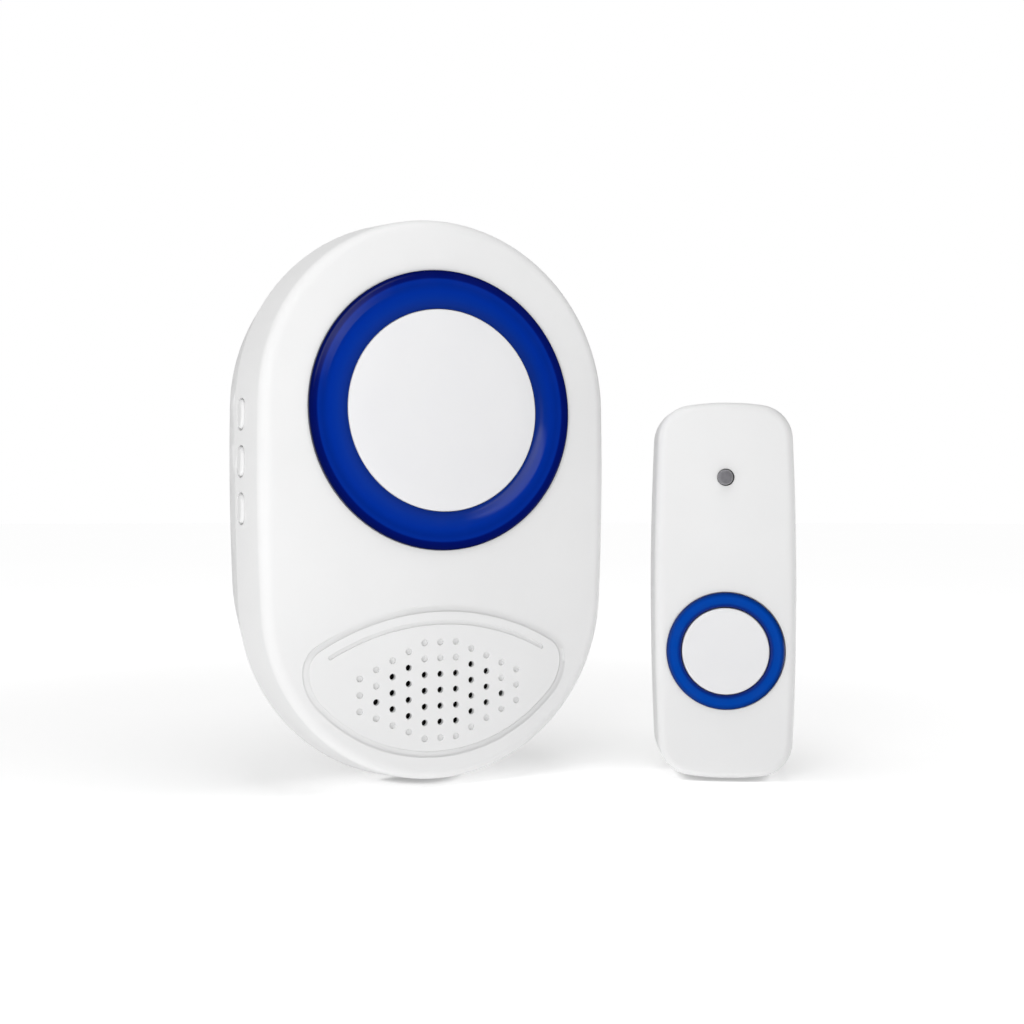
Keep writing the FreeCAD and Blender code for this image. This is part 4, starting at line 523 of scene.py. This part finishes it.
def with_rims(faces: Sequence[bmesh.types.BMFace]) -> list:
    """Gives faces with their points and edges, each once, as a cut takes them."""
    rims = [part for face in faces for part in (*face.verts, *face.edges)]
    return [*dict.fromkeys(rims), *faces]


def welded(node: str) -> BMesh:
    """Copies a node's loose triangles, joins them, and cuts the faces in level bands so that they shade evenly.

    Args:
        node: The node's name.

    Returns:
        The joined mesh, in place.
    """
    mesh = bmesh.new()
    mesh.from_mesh(frame["nodes"][node].data)
    bmesh.ops.remove_doubles(mesh, verts=mesh.verts, dist=WELD)
    bmesh.ops.dissolve_limit(mesh, angle_limit=math.radians(FLAT), use_dissolve_boundaries=False,
                             verts=mesh.verts, edges=mesh.edges, delimit={"NORMAL"})
    low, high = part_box(node)
    for step in range(1, BANDS):
        level = (0.0, 0.0, low[2] + (high[2] - low[2]) * step / BANDS)
        walls = [face for face in mesh.faces
                 if abs(face.normal.y) < WALL_LEAN and abs(face.normal.z) < WALL_RISE]
        bmesh.ops.bisect_plane(mesh, geom=with_rims(walls), dist=WELD, plane_co=level, plane_no=(0.0, 0.0, 1.0))
    return mesh


def smooth_shell(node: str, body: str, shell: bpy.types.Material) -> bpy.types.Object:
    """Stands an evenly shaded copy in for a white moulding whose form is already right."""
    return finish_piece(node + "_skin", welded(node), [shell], body, node, evenness=50)


def dress(node: str, material: bpy.types.Material) -> None:
    """Gives a node of the frame its material.

    Args:
        node: The node's name.
        material: The material.
    """
    data = frame["nodes"][node].data
    data.materials.clear()
    data.materials.append(material)
    log.info("%s: dressed", node)


def middle(node: str) -> Vector:
    """Gives the middle of a node's box, in metres."""
    low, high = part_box(node)
    return (Vector(low) + Vector(high)) / 2


def joint_axis(name: str) -> Vector:
    """Gives the unit direction of a joint's axis at rest."""
    joint = next(joint for joint in frame["joints"] if joint["name"] == name)
    return Vector(joint["axis"]).normalized()


@dataclass
class LightRing:
    """The receiver's blue ring, the white disc in it, and the reflector and lamps behind."""

    rim: float = 29.06
    bore: float = 21.05
    skirt: float = 27.3
    skirt_bore: float = 22.6
    ledge: float = 19.5
    face: float = 21.8
    lip_rise: float = 0.7
    lip_width: float = 0.6
    lip_slope: float = 0.26
    lip_fall: float = 0.07
    cove_rise: float = 0.02
    cove_radius: float = 24.4
    cove_round: float = 1.5
    lip_round: float = 0.3
    lip_fine: float = 0.1
    collar_rise: float = 0.7
    collar_width: float = 0.75
    collar_round: float = 0.4
    collar_fine: float = 0.12
    seat: float = 1.0
    disc_seat: float = 0.9
    disc_radius: float = 21.0
    disc_rise: float = 1.0
    disc_edge: float = 0.35
    disc_fall: float = 0.28
    disc_slope: float = 2.4
    disc_round: float = 2.0
    skirt_end: float = 19.0
    steps: int = 160
    body: str = "receiver"
    centre: Vector = field(default_factory=lambda: middle("receiver_centre_disc"))

    def origin(self) -> Vector:
        """Gives the point of the ring's axis on the wall plane."""
        return Vector((self.centre.x, 0.0, self.centre.z))

    def ring(self) -> bpy.types.Object:
        """Builds the ring as one turned moulding: lip, concave cove, collar, and the skirt that seats it.

        Returns:
            The ring.
        """
        lip = -self.face - self.lip_rise
        cove = -self.face - self.cove_rise
        collar = -self.face - self.collar_rise
        under = self.disc_seat + self.seat - self.face
        profile = [
            Corner(self.rim, self.seat - self.face),
            Corner(self.rim, lip, self.lip_round),
            Corner(self.rim - self.lip_width, lip, self.lip_fine),
            Corner(self.rim - self.lip_width - self.lip_slope, lip + self.lip_fall, self.lip_fine),
            Corner(self.cove_radius, cove, self.cove_round),
            Corner(self.bore + self.collar_width, collar, self.collar_round),
            Corner(self.bore, collar, self.collar_fine),
            Corner(self.bore, self.disc_seat - self.face),
            Corner(self.ledge, self.disc_seat - self.face),
            Corner(self.ledge, under),
            Corner(self.skirt_bore, under),
            Corner(self.skirt_bore, -self.skirt_end),
            Corner(self.skirt, -self.skirt_end),
            Corner(self.skirt, self.seat - self.face),
        ]
        mesh = turned(profile, self.steps, closed=True, segments=6)
        mesh.transform(placed(self.origin()))
        # Royal-blue acrylic, clear over the cove; near-black at the rim is painted shade where the wall stands on
        # edge.
        # The darker, greyer blue at the collar is painted too: shade and a faint reflection of the white disc.
        tint = RingTintAndShade("injection_moulded_royal_blue_acrylic", "#0033A8", "#0033A8", 0.1, grain=5.0, depth=0.004,
                        specular=0.35, coat=0.25, bands=(
                            (21.0, "#0B2876"), (22.0, "#0E2E88"), (23.2, "#063094"), (24.8, "#002D98"),
                            (26.2, "#00288A"), (27.1, "#022B92"), (27.5, "#001166"), (28.6, "#020E58"),
                            (29.06, "#020838")),
                        centre=tuple(self.origin()))
        return finish_piece("light_ring", mesh, [tint.make()], self.body, "receiver_light_ring",
                            Shading.SOFT)

    def disc(self) -> bpy.types.Object:
        """Builds the white disc with its softened rim.

        Returns:
            The disc.
        """
        top = -self.face - self.disc_rise
        profile = [
            Corner(0.0, self.disc_seat - self.face),
            Corner(self.disc_radius, self.disc_seat - self.face),
            Corner(self.disc_radius, top + self.disc_fall, self.disc_edge),
            Corner(self.disc_radius - self.disc_slope, top, self.disc_round),
            Corner(0.0, top),
        ]
        mesh = turned(profile, self.steps, segments=5)
        mesh.transform(placed(self.origin()))
        return finish_piece("centre_disc", mesh, [DISC.make()], self.body, "receiver_centre_disc")

    def build(self) -> None:
        """Builds the ring and the disc, and dresses what lies behind them."""
        self.ring()
        self.disc()
        dress("receiver_reflector", DIFFUSER.make())
        dress("receiver_light_chips", LIGHT_CHIP.make())


@dataclass
class Housing:
    """The receiver's two shells, its battery door and the screws in their wells."""

    body: str = "receiver"
    head_radius: float = 2.7
    head_height: float = 1.8
    head_round: float = 0.7
    neck_round: float = 0.1
    shank_radius: float = 1.35
    shank_length: float = 10.5
    point_length: float = 1.2
    point_radius: float = 0.4
    cross_reach: float = 1.7
    cross_half: float = 0.32
    cross_depth: float = 1.0

    def screw(self) -> BMesh:
        """Builds one case screw about the Y axis, its head from the origin towards +Y.

        Returns:
            The screw: a pan head with a cross recess, and a pointed shank.
        """
        mesh = turned([
            Corner(0.0, self.head_height),
            Corner(self.head_radius, self.head_height, self.head_round),
            Corner(self.head_radius, 0.0, self.neck_round),
            Corner(self.shank_radius, 0.0),
            Corner(self.shank_radius, self.point_length - self.shank_length),
            Corner(self.point_radius, -self.shank_length),
            Corner(0.0, -self.shank_length),
        ], steps=48, segments=4)
        bmesh.ops.dissolve_faces(mesh, faces=self.top(mesh), use_verts=True)
        long, short = self.cross_reach * MM, self.cross_half * MM
        for axis in ((1.0, 0.0, 0.0), (0.0, 0.0, 1.0)):
            for place in (-long, -short, short, long):
                bmesh.ops.bisect_plane(mesh, geom=with_rims(self.top(mesh)), dist=WELD,
                                       plane_co=Vector(axis) * place, plane_no=axis)
        cross = []
        for face in self.top(mesh):
            centre = face.calc_center_median()
            far, near = sorted((abs(centre.x), abs(centre.z)), reverse=True)
            if far < long and near < short:
                cross.append(face)
        sunk = bmesh.ops.extrude_face_region(mesh, geom=cross)["geom"]
        bmesh.ops.translate(mesh, verts=[item for item in sunk if isinstance(item, bmesh.types.BMVert)],
                            vec=(0.0, -self.cross_depth * MM, 0.0))
        bmesh.ops.recalc_face_normals(mesh, faces=mesh.faces)
        return mesh

    def top(self, mesh: BMesh) -> list[bmesh.types.BMFace]:
        """Finds the flat top of the screw's head."""
        return [face for face in mesh.faces if face.normal.y > FACING and face.calc_center_median().y > 0.0]

    def screws(self) -> None:
        """Puts the screw in the four wells; their places come from the node's box."""
        low, high = (Vector(corner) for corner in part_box("case_screws"))
        axis = middle("receiver_centre_disc").z
        head = self.head_radius * MM
        upper, lower, side = high.z - head, low.z + head, high.x - head
        seat = high.y - self.head_height * MM
        one, whole = self.screw(), bmesh.new()
        pattern = bpy.data.meshes.new("case_screw")
        one.to_mesh(pattern)
        one.free()
        for x, z in ((upper - axis, upper), (axis - upper, upper), (side, lower), (-side, lower)):
            held = set(whole.verts)
            whole.from_mesh(pattern)
            added = [vert for vert in whole.verts if vert not in held]
            bmesh.ops.translate(whole, verts=added, vec=(x, seat, z))
        finish_piece("case_screws_skin", whole, [STEEL.make()], self.body, "case_screws")

    def build(self, shell: bpy.types.Material) -> None:
        """Stands smooth skins in for the shells and the door.

        Args:
            shell: The white of the housing.
        """
        smooth_shell("receiver_front_shell", self.body, shell)
        smooth_shell("receiver_rear_shell", self.body, shell)
        smooth_shell("battery_door", "door", shell)
        self.screws()


@dataclass
class SideKeys:
    """Three pill-shaped keys in the receiver's side wall."""

    radius: float = 1.93
    length: float = 5.9
    sunk: float = 0.22
    crown: float = 0.7
    reach: float = 2.6
    flange_edge: float = 0.9
    flange_thick: float = 1.0
    flange_round: float = 0.15
    stem_radius: float = 1.5
    stem_round: float = 0.1
    names: tuple[str, ...] = ("upper", "middle", "lower")

    def key(self, name: str, shell: bpy.types.Material) -> None:
        """Builds one key: a crowned pill on a flange, with the stem that presses its switch.

        Args:
            name: Which key.
            shell: The white of the housing.
        """
        node = "side_button_" + name
        low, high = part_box(node)
        centre = middle(node)
        outside = Vector((low[0], centre.y, centre.z))
        mesh = bmesh.new()
        add_pill(mesh, self.length, self.radius, self.sunk, self.reach, self.crown)
        add_pill(mesh, self.length + 2 * self.flange_edge, self.radius + self.flange_edge,
                 self.reach - self.flange_thick, self.reach, self.flange_round)
        add_pill(mesh, 2 * self.stem_radius, self.stem_radius, self.reach, (high[0] - low[0]) / MM, self.stem_round)
        mesh.transform(Matrix.Translation(outside) @ Matrix.Rotation(math.radians(90.0), 4, "Y"))
        finish_piece(node + "_skin", mesh, [shell], "side_key_" + name, node)

    def build(self, shell: bpy.types.Material) -> None:
        """Builds the three keys and dresses their plungers.

        Args:
            shell: The white of the housing.
        """
        grey = PLUNGER.make()
        for name in self.names:
            self.key(name, shell)
            dress("side_plunger_" + name, grey)


@dataclass
class Insides:
    """What the two housings hold: boards, chips, coils, speaker, cells and contacts."""

    def build(self) -> None:
        """Dresses every inner node."""
        board, chip, copper = BOARD.make(), CHIP.make(), COPPER.make()
        steel, nickel, switch = STEEL.make(), NICKEL.make(), SWITCH.make()
        for node, material in (
                ("receiver_circuit_board", board), ("receiver_chips", chip), ("receiver_radio_coil", copper),
                ("board_screws", steel), ("side_switches", switch), ("speaker_gasket", BLACK_FOAM.make()),
                ("speaker_frame", switch), ("speaker_cone", CONE.make()), ("speaker_magnet", MAGNET.make()),
                ("battery_plates", nickel), ("battery_springs", nickel), ("push_adhesive_pad", WHITE_FOAM.make()),
                ("push_switch", switch), ("push_circuit_board", board), ("push_chips", chip),
                ("push_radio_coil", copper), ("push_board_screws", steel), ("push_cell_plates", nickel),
                ("push_cell_spring", nickel), ("push_plunger", PLUNGER.make())):
            dress(node, material)
        for node, side in (("battery_cell_upper", 1.0), ("battery_cell_middle", -1.0), ("battery_cell_lower", 1.0)):
            Cell(node, "receiver", (side, 0.0, 0.0), nickel).build()
        Cell("push_cell", "push_case", (0.0, 0.0, -1.0), nickel, radius=5.15, length=28.9, nub_radius=2.6,
             nub_length=1.2).build()


@dataclass
class Cell:
    """A battery cell: a film-wrapped can with a bare nub at one end and a bare disc at the other."""

    node: str
    body: str
    nub: tuple[float, float, float]
    metal: bpy.types.Material
    radius: float = 5.25
    length: float = 44.5
    nub_radius: float = 1.9
    nub_length: float = 0.8
    nub_round: float = 0.25
    film_thick: float = 0.15
    film_round: float = 0.1
    edge: float = 0.5
    rim: float = 0.3
    rim_round: float = 0.2
    land: float = 0.4
    fine_round: float = 0.15

    def build(self) -> None:
        """Builds the cell as one turned piece in two materials."""
        far, near = self.length / 2, -self.length / 2
        shoulder = far - self.nub_length
        bare = self.radius - self.edge - self.rim
        wrap = near + self.film_thick
        dish = shoulder - self.film_thick
        profile = [
            Corner(0.0, near),
            Corner(bare - self.land, near, self.fine_round),
            Corner(bare, wrap),
            Corner(self.radius - self.rim, wrap, self.film_round),
            Corner(self.radius, wrap + self.rim, self.rim_round),
            Corner(self.radius, shoulder - self.rim, self.rim_round),
            Corner(self.radius - self.edge, shoulder, self.fine_round),
            Corner(bare, dish),
            Corner(self.nub_radius + self.land, dish, self.rim_round),
            Corner(self.nub_radius, far, self.nub_round),
            Corner(0.0, far),
        ]
        mesh = turned(profile, steps=72, segments=3)
        for face in mesh.faces:
            reach = math.hypot(*face.calc_center_median().xz)
            face.material_index = int(reach < bare * MM)
        centre = middle(self.node)
        towards = Vector(self.nub)
        mesh.transform(aimed(centre, towards))
        # Printed polyester film shrunk over the steel can: a copper-coloured band at the nub's end, grey beyond.
        film = Banded("printed_polyester_film_" + self.node, "#3A3D42", "#B9863B", 0.3, grain=0.8, depth=0.002,
                      centre=tuple(centre), run=tuple(-towards), length=self.length)
        finish_piece(self.node + "_skin", mesh, [film.make(), self.metal], self.body, self.node)


@dataclass
class PushButton:
    """The push button: case, back plate, blue ring, white cap and indicator."""

    body: str = "push_case"
    ring_radius: float = 12.45
    bore: float = 9.3
    face: float = 14.4
    lip: float = 0.45
    lip_foot: float = 0.1
    lip_outer: float = 0.55
    lip_inner: float = 0.45
    lip_round: float = 0.35
    rim_round: float = 0.1
    bore_round: float = 0.08
    seat: float = 1.0
    guide: float = 2.2
    skirt: float = 11.3
    cap_radius: float = 9.15
    cap_rise: float = 0.8
    cap_edge: float = 0.4
    cap_flange: float = 10.6
    flange_round: float = 0.15
    cap_back: float = 10.9
    cap_thick: float = 1.0
    stem_radius: float = 2.5
    stem_round: float = 0.2
    stem_end: float = 10.4
    lamp_radius: float = 1.64
    lamp_body: float = 1.5
    lamp_rise: float = 1.0
    lamp_round: float = 1.0
    lamp_collar: float = 1.6
    lamp_foot: float = 5.0
    turn: float = field(init=False)
    origin: Vector = field(init=False)

    def __post_init__(self) -> None:
        """Works out where the push button stands from the frame."""
        back = joint_axis("push_cap_press")
        self.turn = math.atan2(-back.x, back.y)
        # The ring's box reaches from its lip to its flange; the origin lies behind its middle, on the back plane.
        self.origin = middle("push_ring") + back * (self.face + (self.lip - self.guide) / 2) * MM

    def ring(self) -> bpy.types.Object:
        """Builds the blue ring with its two rounded lips.

        Returns:
            The ring.
        """
        front = -self.face - self.lip
        profile = [
            Corner(self.ring_radius, self.seat - self.face),
            Corner(self.ring_radius, -self.face - self.lip_foot, self.rim_round),
            Corner(self.ring_radius - self.lip_outer, front, self.lip_round),
            Corner(self.bore + self.lip_inner, front, self.lip_round),
            Corner(self.bore, -self.face - self.lip_foot, self.bore_round),
            Corner(self.bore, self.guide - self.face),
            Corner(self.skirt, self.guide - self.face),
            Corner(self.skirt, self.seat - self.face),
        ]
        mesh = turned(profile, steps=128, closed=True, segments=5)
        mesh.transform(placed(self.origin, self.turn))
        # The smaller ring is the same acrylic over a thinner wall, so it is a lighter blue.
        # Its darker bands at the bore and at the rim are painted shade where its walls turn edge-on.
        tint = RingTintAndShade("injection_moulded_bright_blue_acrylic", "#004CB8", "#004CB8", 0.1, grain=3.0, depth=0.004,
                        specular=0.35, coat=0.25, bands=(
                            (9.3, "#031A66"), (9.8, "#062E86"), (10.3, "#0042A4"), (11.3, "#0044A8"),
                            (11.8, "#003A98"), (12.1, "#02347E"), (12.45, "#02145E")),
                        centre=tuple(self.origin), turn=self.turn)
        return finish_piece("push_light_ring", mesh, [tint.make()], self.body, "push_ring",
                            Shading.SOFT)

    def cap(self) -> bpy.types.Object:
        """Builds the white cap: a disc with a softened rim, a flange behind the ring and a stem.

        Returns:
            The cap.
        """
        front = -self.face - self.cap_rise
        profile = [
            Corner(0.0, -self.stem_end),
            Corner(self.stem_radius, -self.stem_end, self.stem_round),
            Corner(self.stem_radius, -self.cap_back),
            Corner(self.cap_flange, -self.cap_back),
            Corner(self.cap_flange, -self.cap_back - self.cap_thick, self.flange_round),
            Corner(self.cap_radius, -self.cap_back - self.cap_thick),
            Corner(self.cap_radius, front, self.cap_edge),
            Corner(0.0, front),
        ]
        mesh = turned(profile, steps=128, segments=4)
        mesh.transform(placed(self.origin, self.turn))
        return finish_piece("push_cap_skin", mesh, [DISC.make()], "push_cap", "push_button_cap")

    def lamp(self) -> bpy.types.Object:
        """Builds the indicator's smoked dome.

        Returns:
            The indicator.
        """
        level = middle("push_indicator_lamp").z
        profile = [
            Corner(0.0, -self.lamp_foot),
            Corner(self.lamp_body, -self.lamp_foot),
            Corner(self.lamp_body, self.lamp_collar - self.face),
            Corner(self.lamp_radius, self.lamp_collar - self.face),
            Corner(self.lamp_radius, -self.face - self.lamp_rise, self.lamp_round),
            Corner(0.0, -self.face - self.lamp_rise),
        ]
        mesh = turned(profile, steps=64, segments=8)
        mesh.transform(placed(Vector((self.origin.x, self.origin.y, level)), self.turn))
        return finish_piece("indicator_dome", mesh, [SMOKED.make()], self.body,
                            "push_indicator_lamp", Shading.SOFT)

    def build(self, shell: bpy.types.Material) -> None:
        """Builds the push button's visible pieces.

        Args:
            shell: The white of the housing.
        """
        smooth_shell("push_front_shell", self.body, shell)
        smooth_shell("push_back_plate", "receiver", shell)
        self.cap()
        self.ring()
        self.lamp()


@dataclass(frozen=True)
class Softbox:
    """One square soft light that looks at the doorbell and isn't mirrored in it; metres and watts."""

    name: str
    place: tuple[float, float, float]
    size: float
    power: float
    aim: tuple[float, float, float] = (0.0, -0.02, -0.03)

    def hang(self) -> None:
        """Hangs the light in its place."""
        lamp = bpy.data.lights.new(self.name, "AREA")
        lamp.size = self.size
        lamp.energy = self.power
        light = bpy.data.objects.new(self.name, lamp)
        light.location = self.place
        light.rotation_euler = (Vector(self.aim) - Vector(self.place)).to_track_quat("-Z", "Y").to_euler()
        light.visible_glossy = False
        bpy.context.scene.collection.objects.link(light)


@dataclass(frozen=True)
class Glow:
    """A brightness that changes smoothly from low to high as the view comes close to one direction."""

    towards: tuple[float, float, float]
    high: float
    low: float = 0.0
    start: float = 0.0
    end: float = 1.0

    def brightness(self, tree: Tree, way: Socket) -> Socket:
        """Gives the brightness in a direction.

        Args:
            tree: The world's node tree.
            way: The direction looked in.

        Returns:
            The brightness.
        """
        near = add_node(tree, "ShaderNodeVectorMath", {"operation": "DOT_PRODUCT"},
                        {1: Vector(self.towards).normalized()}, {0: way})
        return spread(tree, near.outputs["Value"], self.low, self.high, self.start, self.end)


@dataclass
class Studio:
    """A lit floor, a white surround, soft lights and the camera, in metres and degrees; its lens in millimetres."""

    camera_place: tuple[float, float, float] = (-0.09453, -0.25089, -0.04508)
    camera_turn: float = -25.69
    camera_near: float = 0.01
    lens: float = 41.843
    sensor: float = 36.0
    floor_reach: float = 6.0
    floor_light: float = 0.32
    floor_far: float = 0.7
    floor_fade: tuple[float, float] = (0.09, 0.3)
    contact_reach: float = 0.0015
    contact_share: float = 0.62
    contact_fade: tuple[float, float] = (0.3, 0.9)
    contact_samples: int = 8
    walls: tuple[Glow, ...] = (
        Glow((-0.95, 0.0, 0.3), 0.44),
        Glow((0.1, 0.97, 0.2), 0.19),
        Glow((0.0, -1.0, 0.0), 0.195),
    )
    camera_side: Glow = Glow((0.2, -0.98, 0.0), 0.02, 0.55, -0.2, 0.5)
    right_card: Glow = Glow((0.98, -0.05, -0.15), 1.2, 0.0, 0.8, 0.95)
    pane: float = 0.95
    pane_edge: tuple[float, float] = (0.47, 0.53)
    pane_levels: tuple[tuple[float, float], ...] = ((0.05, 0.0), (-0.45, -0.3))
    overhead_power: float = 0.21
    overhead_spread: float = 120.0
    overhead_tilt: tuple[float, float, float] = (-12.0, -14.0, 0.0)
    softboxes: tuple[Softbox, ...] = (
        Softbox("near_left_strip", (-0.12, -0.17, -0.03), 0.10, 0.12),
        Softbox("top_softbox", (0.0, -0.10, 0.25), 0.20, 0.425),
    )

    def floor(self) -> None:
        """Lays the floor under the doorbell."""
        mesh = bmesh.new()
        bmesh.ops.create_circle(mesh, cap_ends=True, segments=96, radius=self.floor_reach)
        bmesh.ops.translate(mesh, verts=mesh.verts, vec=(0.0, 0.0, CAD_BOX[0][2]))
        data = bpy.data.meshes.new("studio_floor")
        mesh.to_mesh(data)
        mesh.free()
        # Opal acrylic light table, glowing a little from below, more away from the doorbell: shadows on it stay
        # pale, it runs into the surround, and a painted contact shadow leaves a thin dark line where something
        # stands on it.
        table = Finish("opal_acrylic_light_table", "#FAFAFA", "#F8F8F8", 0.9, grain=3.0, depth=0.001, mottle=200.0,
                       specular=0.0).make()
        tree = table.node_tree
        shader = tree.nodes["Principled BSDF"]
        shader.inputs["Emission Color"].default_value = (1.0, 1.0, 1.0, 1.0)
        place = add_node(tree, "ShaderNodeTexCoord").outputs["Object"]
        reach = add_node(tree, "ShaderNodeVectorMath", {"operation": "LENGTH"}, links={0: place}).outputs["Value"]
        lit = spread(tree, reach, self.floor_light, self.floor_far, *self.floor_fade)
        # Painted contact shadow: ambient occlusion darkens the floor's colour and glow next to whatever stands on
        # it.
        painted_contact_shadow = add_node(tree, "ShaderNodeAmbientOcclusion", {"samples": self.contact_samples},
                       {"Distance": self.contact_reach})
        clear = spread(tree, painted_contact_shadow.outputs["AO"], self.contact_share, 1.0, *self.contact_fade)
        tree.links.new(combine(tree, "MULTIPLY", lit, clear), shader.inputs["Emission Strength"])
        base = shader.inputs["Base Color"]
        shaded = add_node(tree, "ShaderNodeVectorMath", {"operation": "SCALE"},
                          links={0: base.links[0].from_socket, "Scale": clear})
        tree.links.new(shaded.outputs["Vector"], base)
        data.materials.append(table)
        floor = bpy.data.objects.new("studio_floor", data)
        bpy.context.scene.collection.objects.link(floor)
        floor.visible_glossy = False

    def surround(self) -> None:
        """Lights the doorbell from a white room that is brighter on the left and dark where the camera stands."""
        world = bpy.data.worlds.new("white_room")
        bpy.context.scene.world = world
        world.use_nodes = True
        tree = world.node_tree
        out = tree.nodes["World Output"]
        way = add_node(tree, "ShaderNodeTexCoord").outputs["Generated"]
        path = add_node(tree, "ShaderNodeLightPath")
        left, rear, front = (wall.brightness(tree, way) for wall in self.walls)
        light = combine(tree, "ADD", combine(tree, "ADD", left, rear), front)
        dark = self.camera_side.brightness(tree, way)
        card = self.right_card.brightness(tree, way)
        seen = combine(tree, "ADD", combine(tree, "ADD", dark, card), self.low_pane(tree, way))
        mirrored = add_node(tree, "ShaderNodeMix", {"data_type": "FLOAT"},
                            links={"Factor": path.outputs["Is Glossy Ray"], "A": light, "B": seen})
        shown = add_node(tree, "ShaderNodeMix", {"data_type": "FLOAT"}, {"B": 1.0},
                         {"Factor": path.outputs["Is Camera Ray"], "A": mirrored.outputs["Result"]})
        back = tree.nodes["Background"]
        back.inputs["Color"].default_value = (1.0, 1.0, 1.0, 1.0)
        tree.links.new(shown.outputs["Result"], back.inputs["Strength"])
        tree.links.new(back.outputs["Background"], out.inputs["Surface"])

    def low_pane(self, tree: Tree, way: Socket) -> Socket:
        """Gives the bright pane low on the right, which the ring mirrors at its upper left.

        Args:
            tree: The world's node tree.
            way: The direction looked in.

        Returns:
            The brightness.
        """
        parts = add_node(tree, "ShaderNodeSeparateXYZ", links={"Vector": way}).outputs
        light = spread(tree, parts["X"], 0.0, self.pane, *self.pane_edge)
        for start, end in self.pane_levels:
            light = combine(tree, "MULTIPLY", light, spread(tree, parts["Z"], 0.0, 1.0, start, end))
        return light

    def overhead(self) -> None:
        """Hangs one very wide, even light over the floor."""
        lamp = bpy.data.lights.new("overhead", "SUN")
        lamp.energy = self.overhead_power
        lamp.angle = math.radians(self.overhead_spread)
        light = bpy.data.objects.new("overhead", lamp)
        light.rotation_euler = [math.radians(tilt) for tilt in self.overhead_tilt]
        light.visible_glossy = False
        bpy.context.scene.collection.objects.link(light)

    def camera(self) -> None:
        """Stands the camera where the photograph was taken from."""
        lens = bpy.data.cameras.new("camera")
        lens.lens = self.lens
        lens.sensor_width = self.sensor
        lens.sensor_fit = "HORIZONTAL"
        lens.clip_start = self.camera_near
        camera = bpy.data.objects.new("camera", lens)
        camera.location = self.camera_place
        camera.rotation_euler = (math.radians(90.0), 0.0, math.radians(self.camera_turn))
        bpy.context.scene.collection.objects.link(camera)
        bpy.context.scene.camera = camera

    def build(self) -> None:
        """Sets the studio up."""
        bpy.context.scene.view_settings.view_transform = "Standard"
        self.floor()
        self.surround()
        self.overhead()
        for softbox in self.softboxes:
            softbox.hang()
        self.camera()


def main() -> None:
    """Builds the studio and the doorbell, in order."""
    logging.basicConfig(level=logging.INFO, format="%(name)s: %(message)s")
    Studio().build()
    shell = SHELL.make()
    Housing().build(shell)
    LightRing().build()
    SideKeys().build(shell)
    Insides().build()
    PushButton().build(shell)


if __name__ == "__main__":
    main()
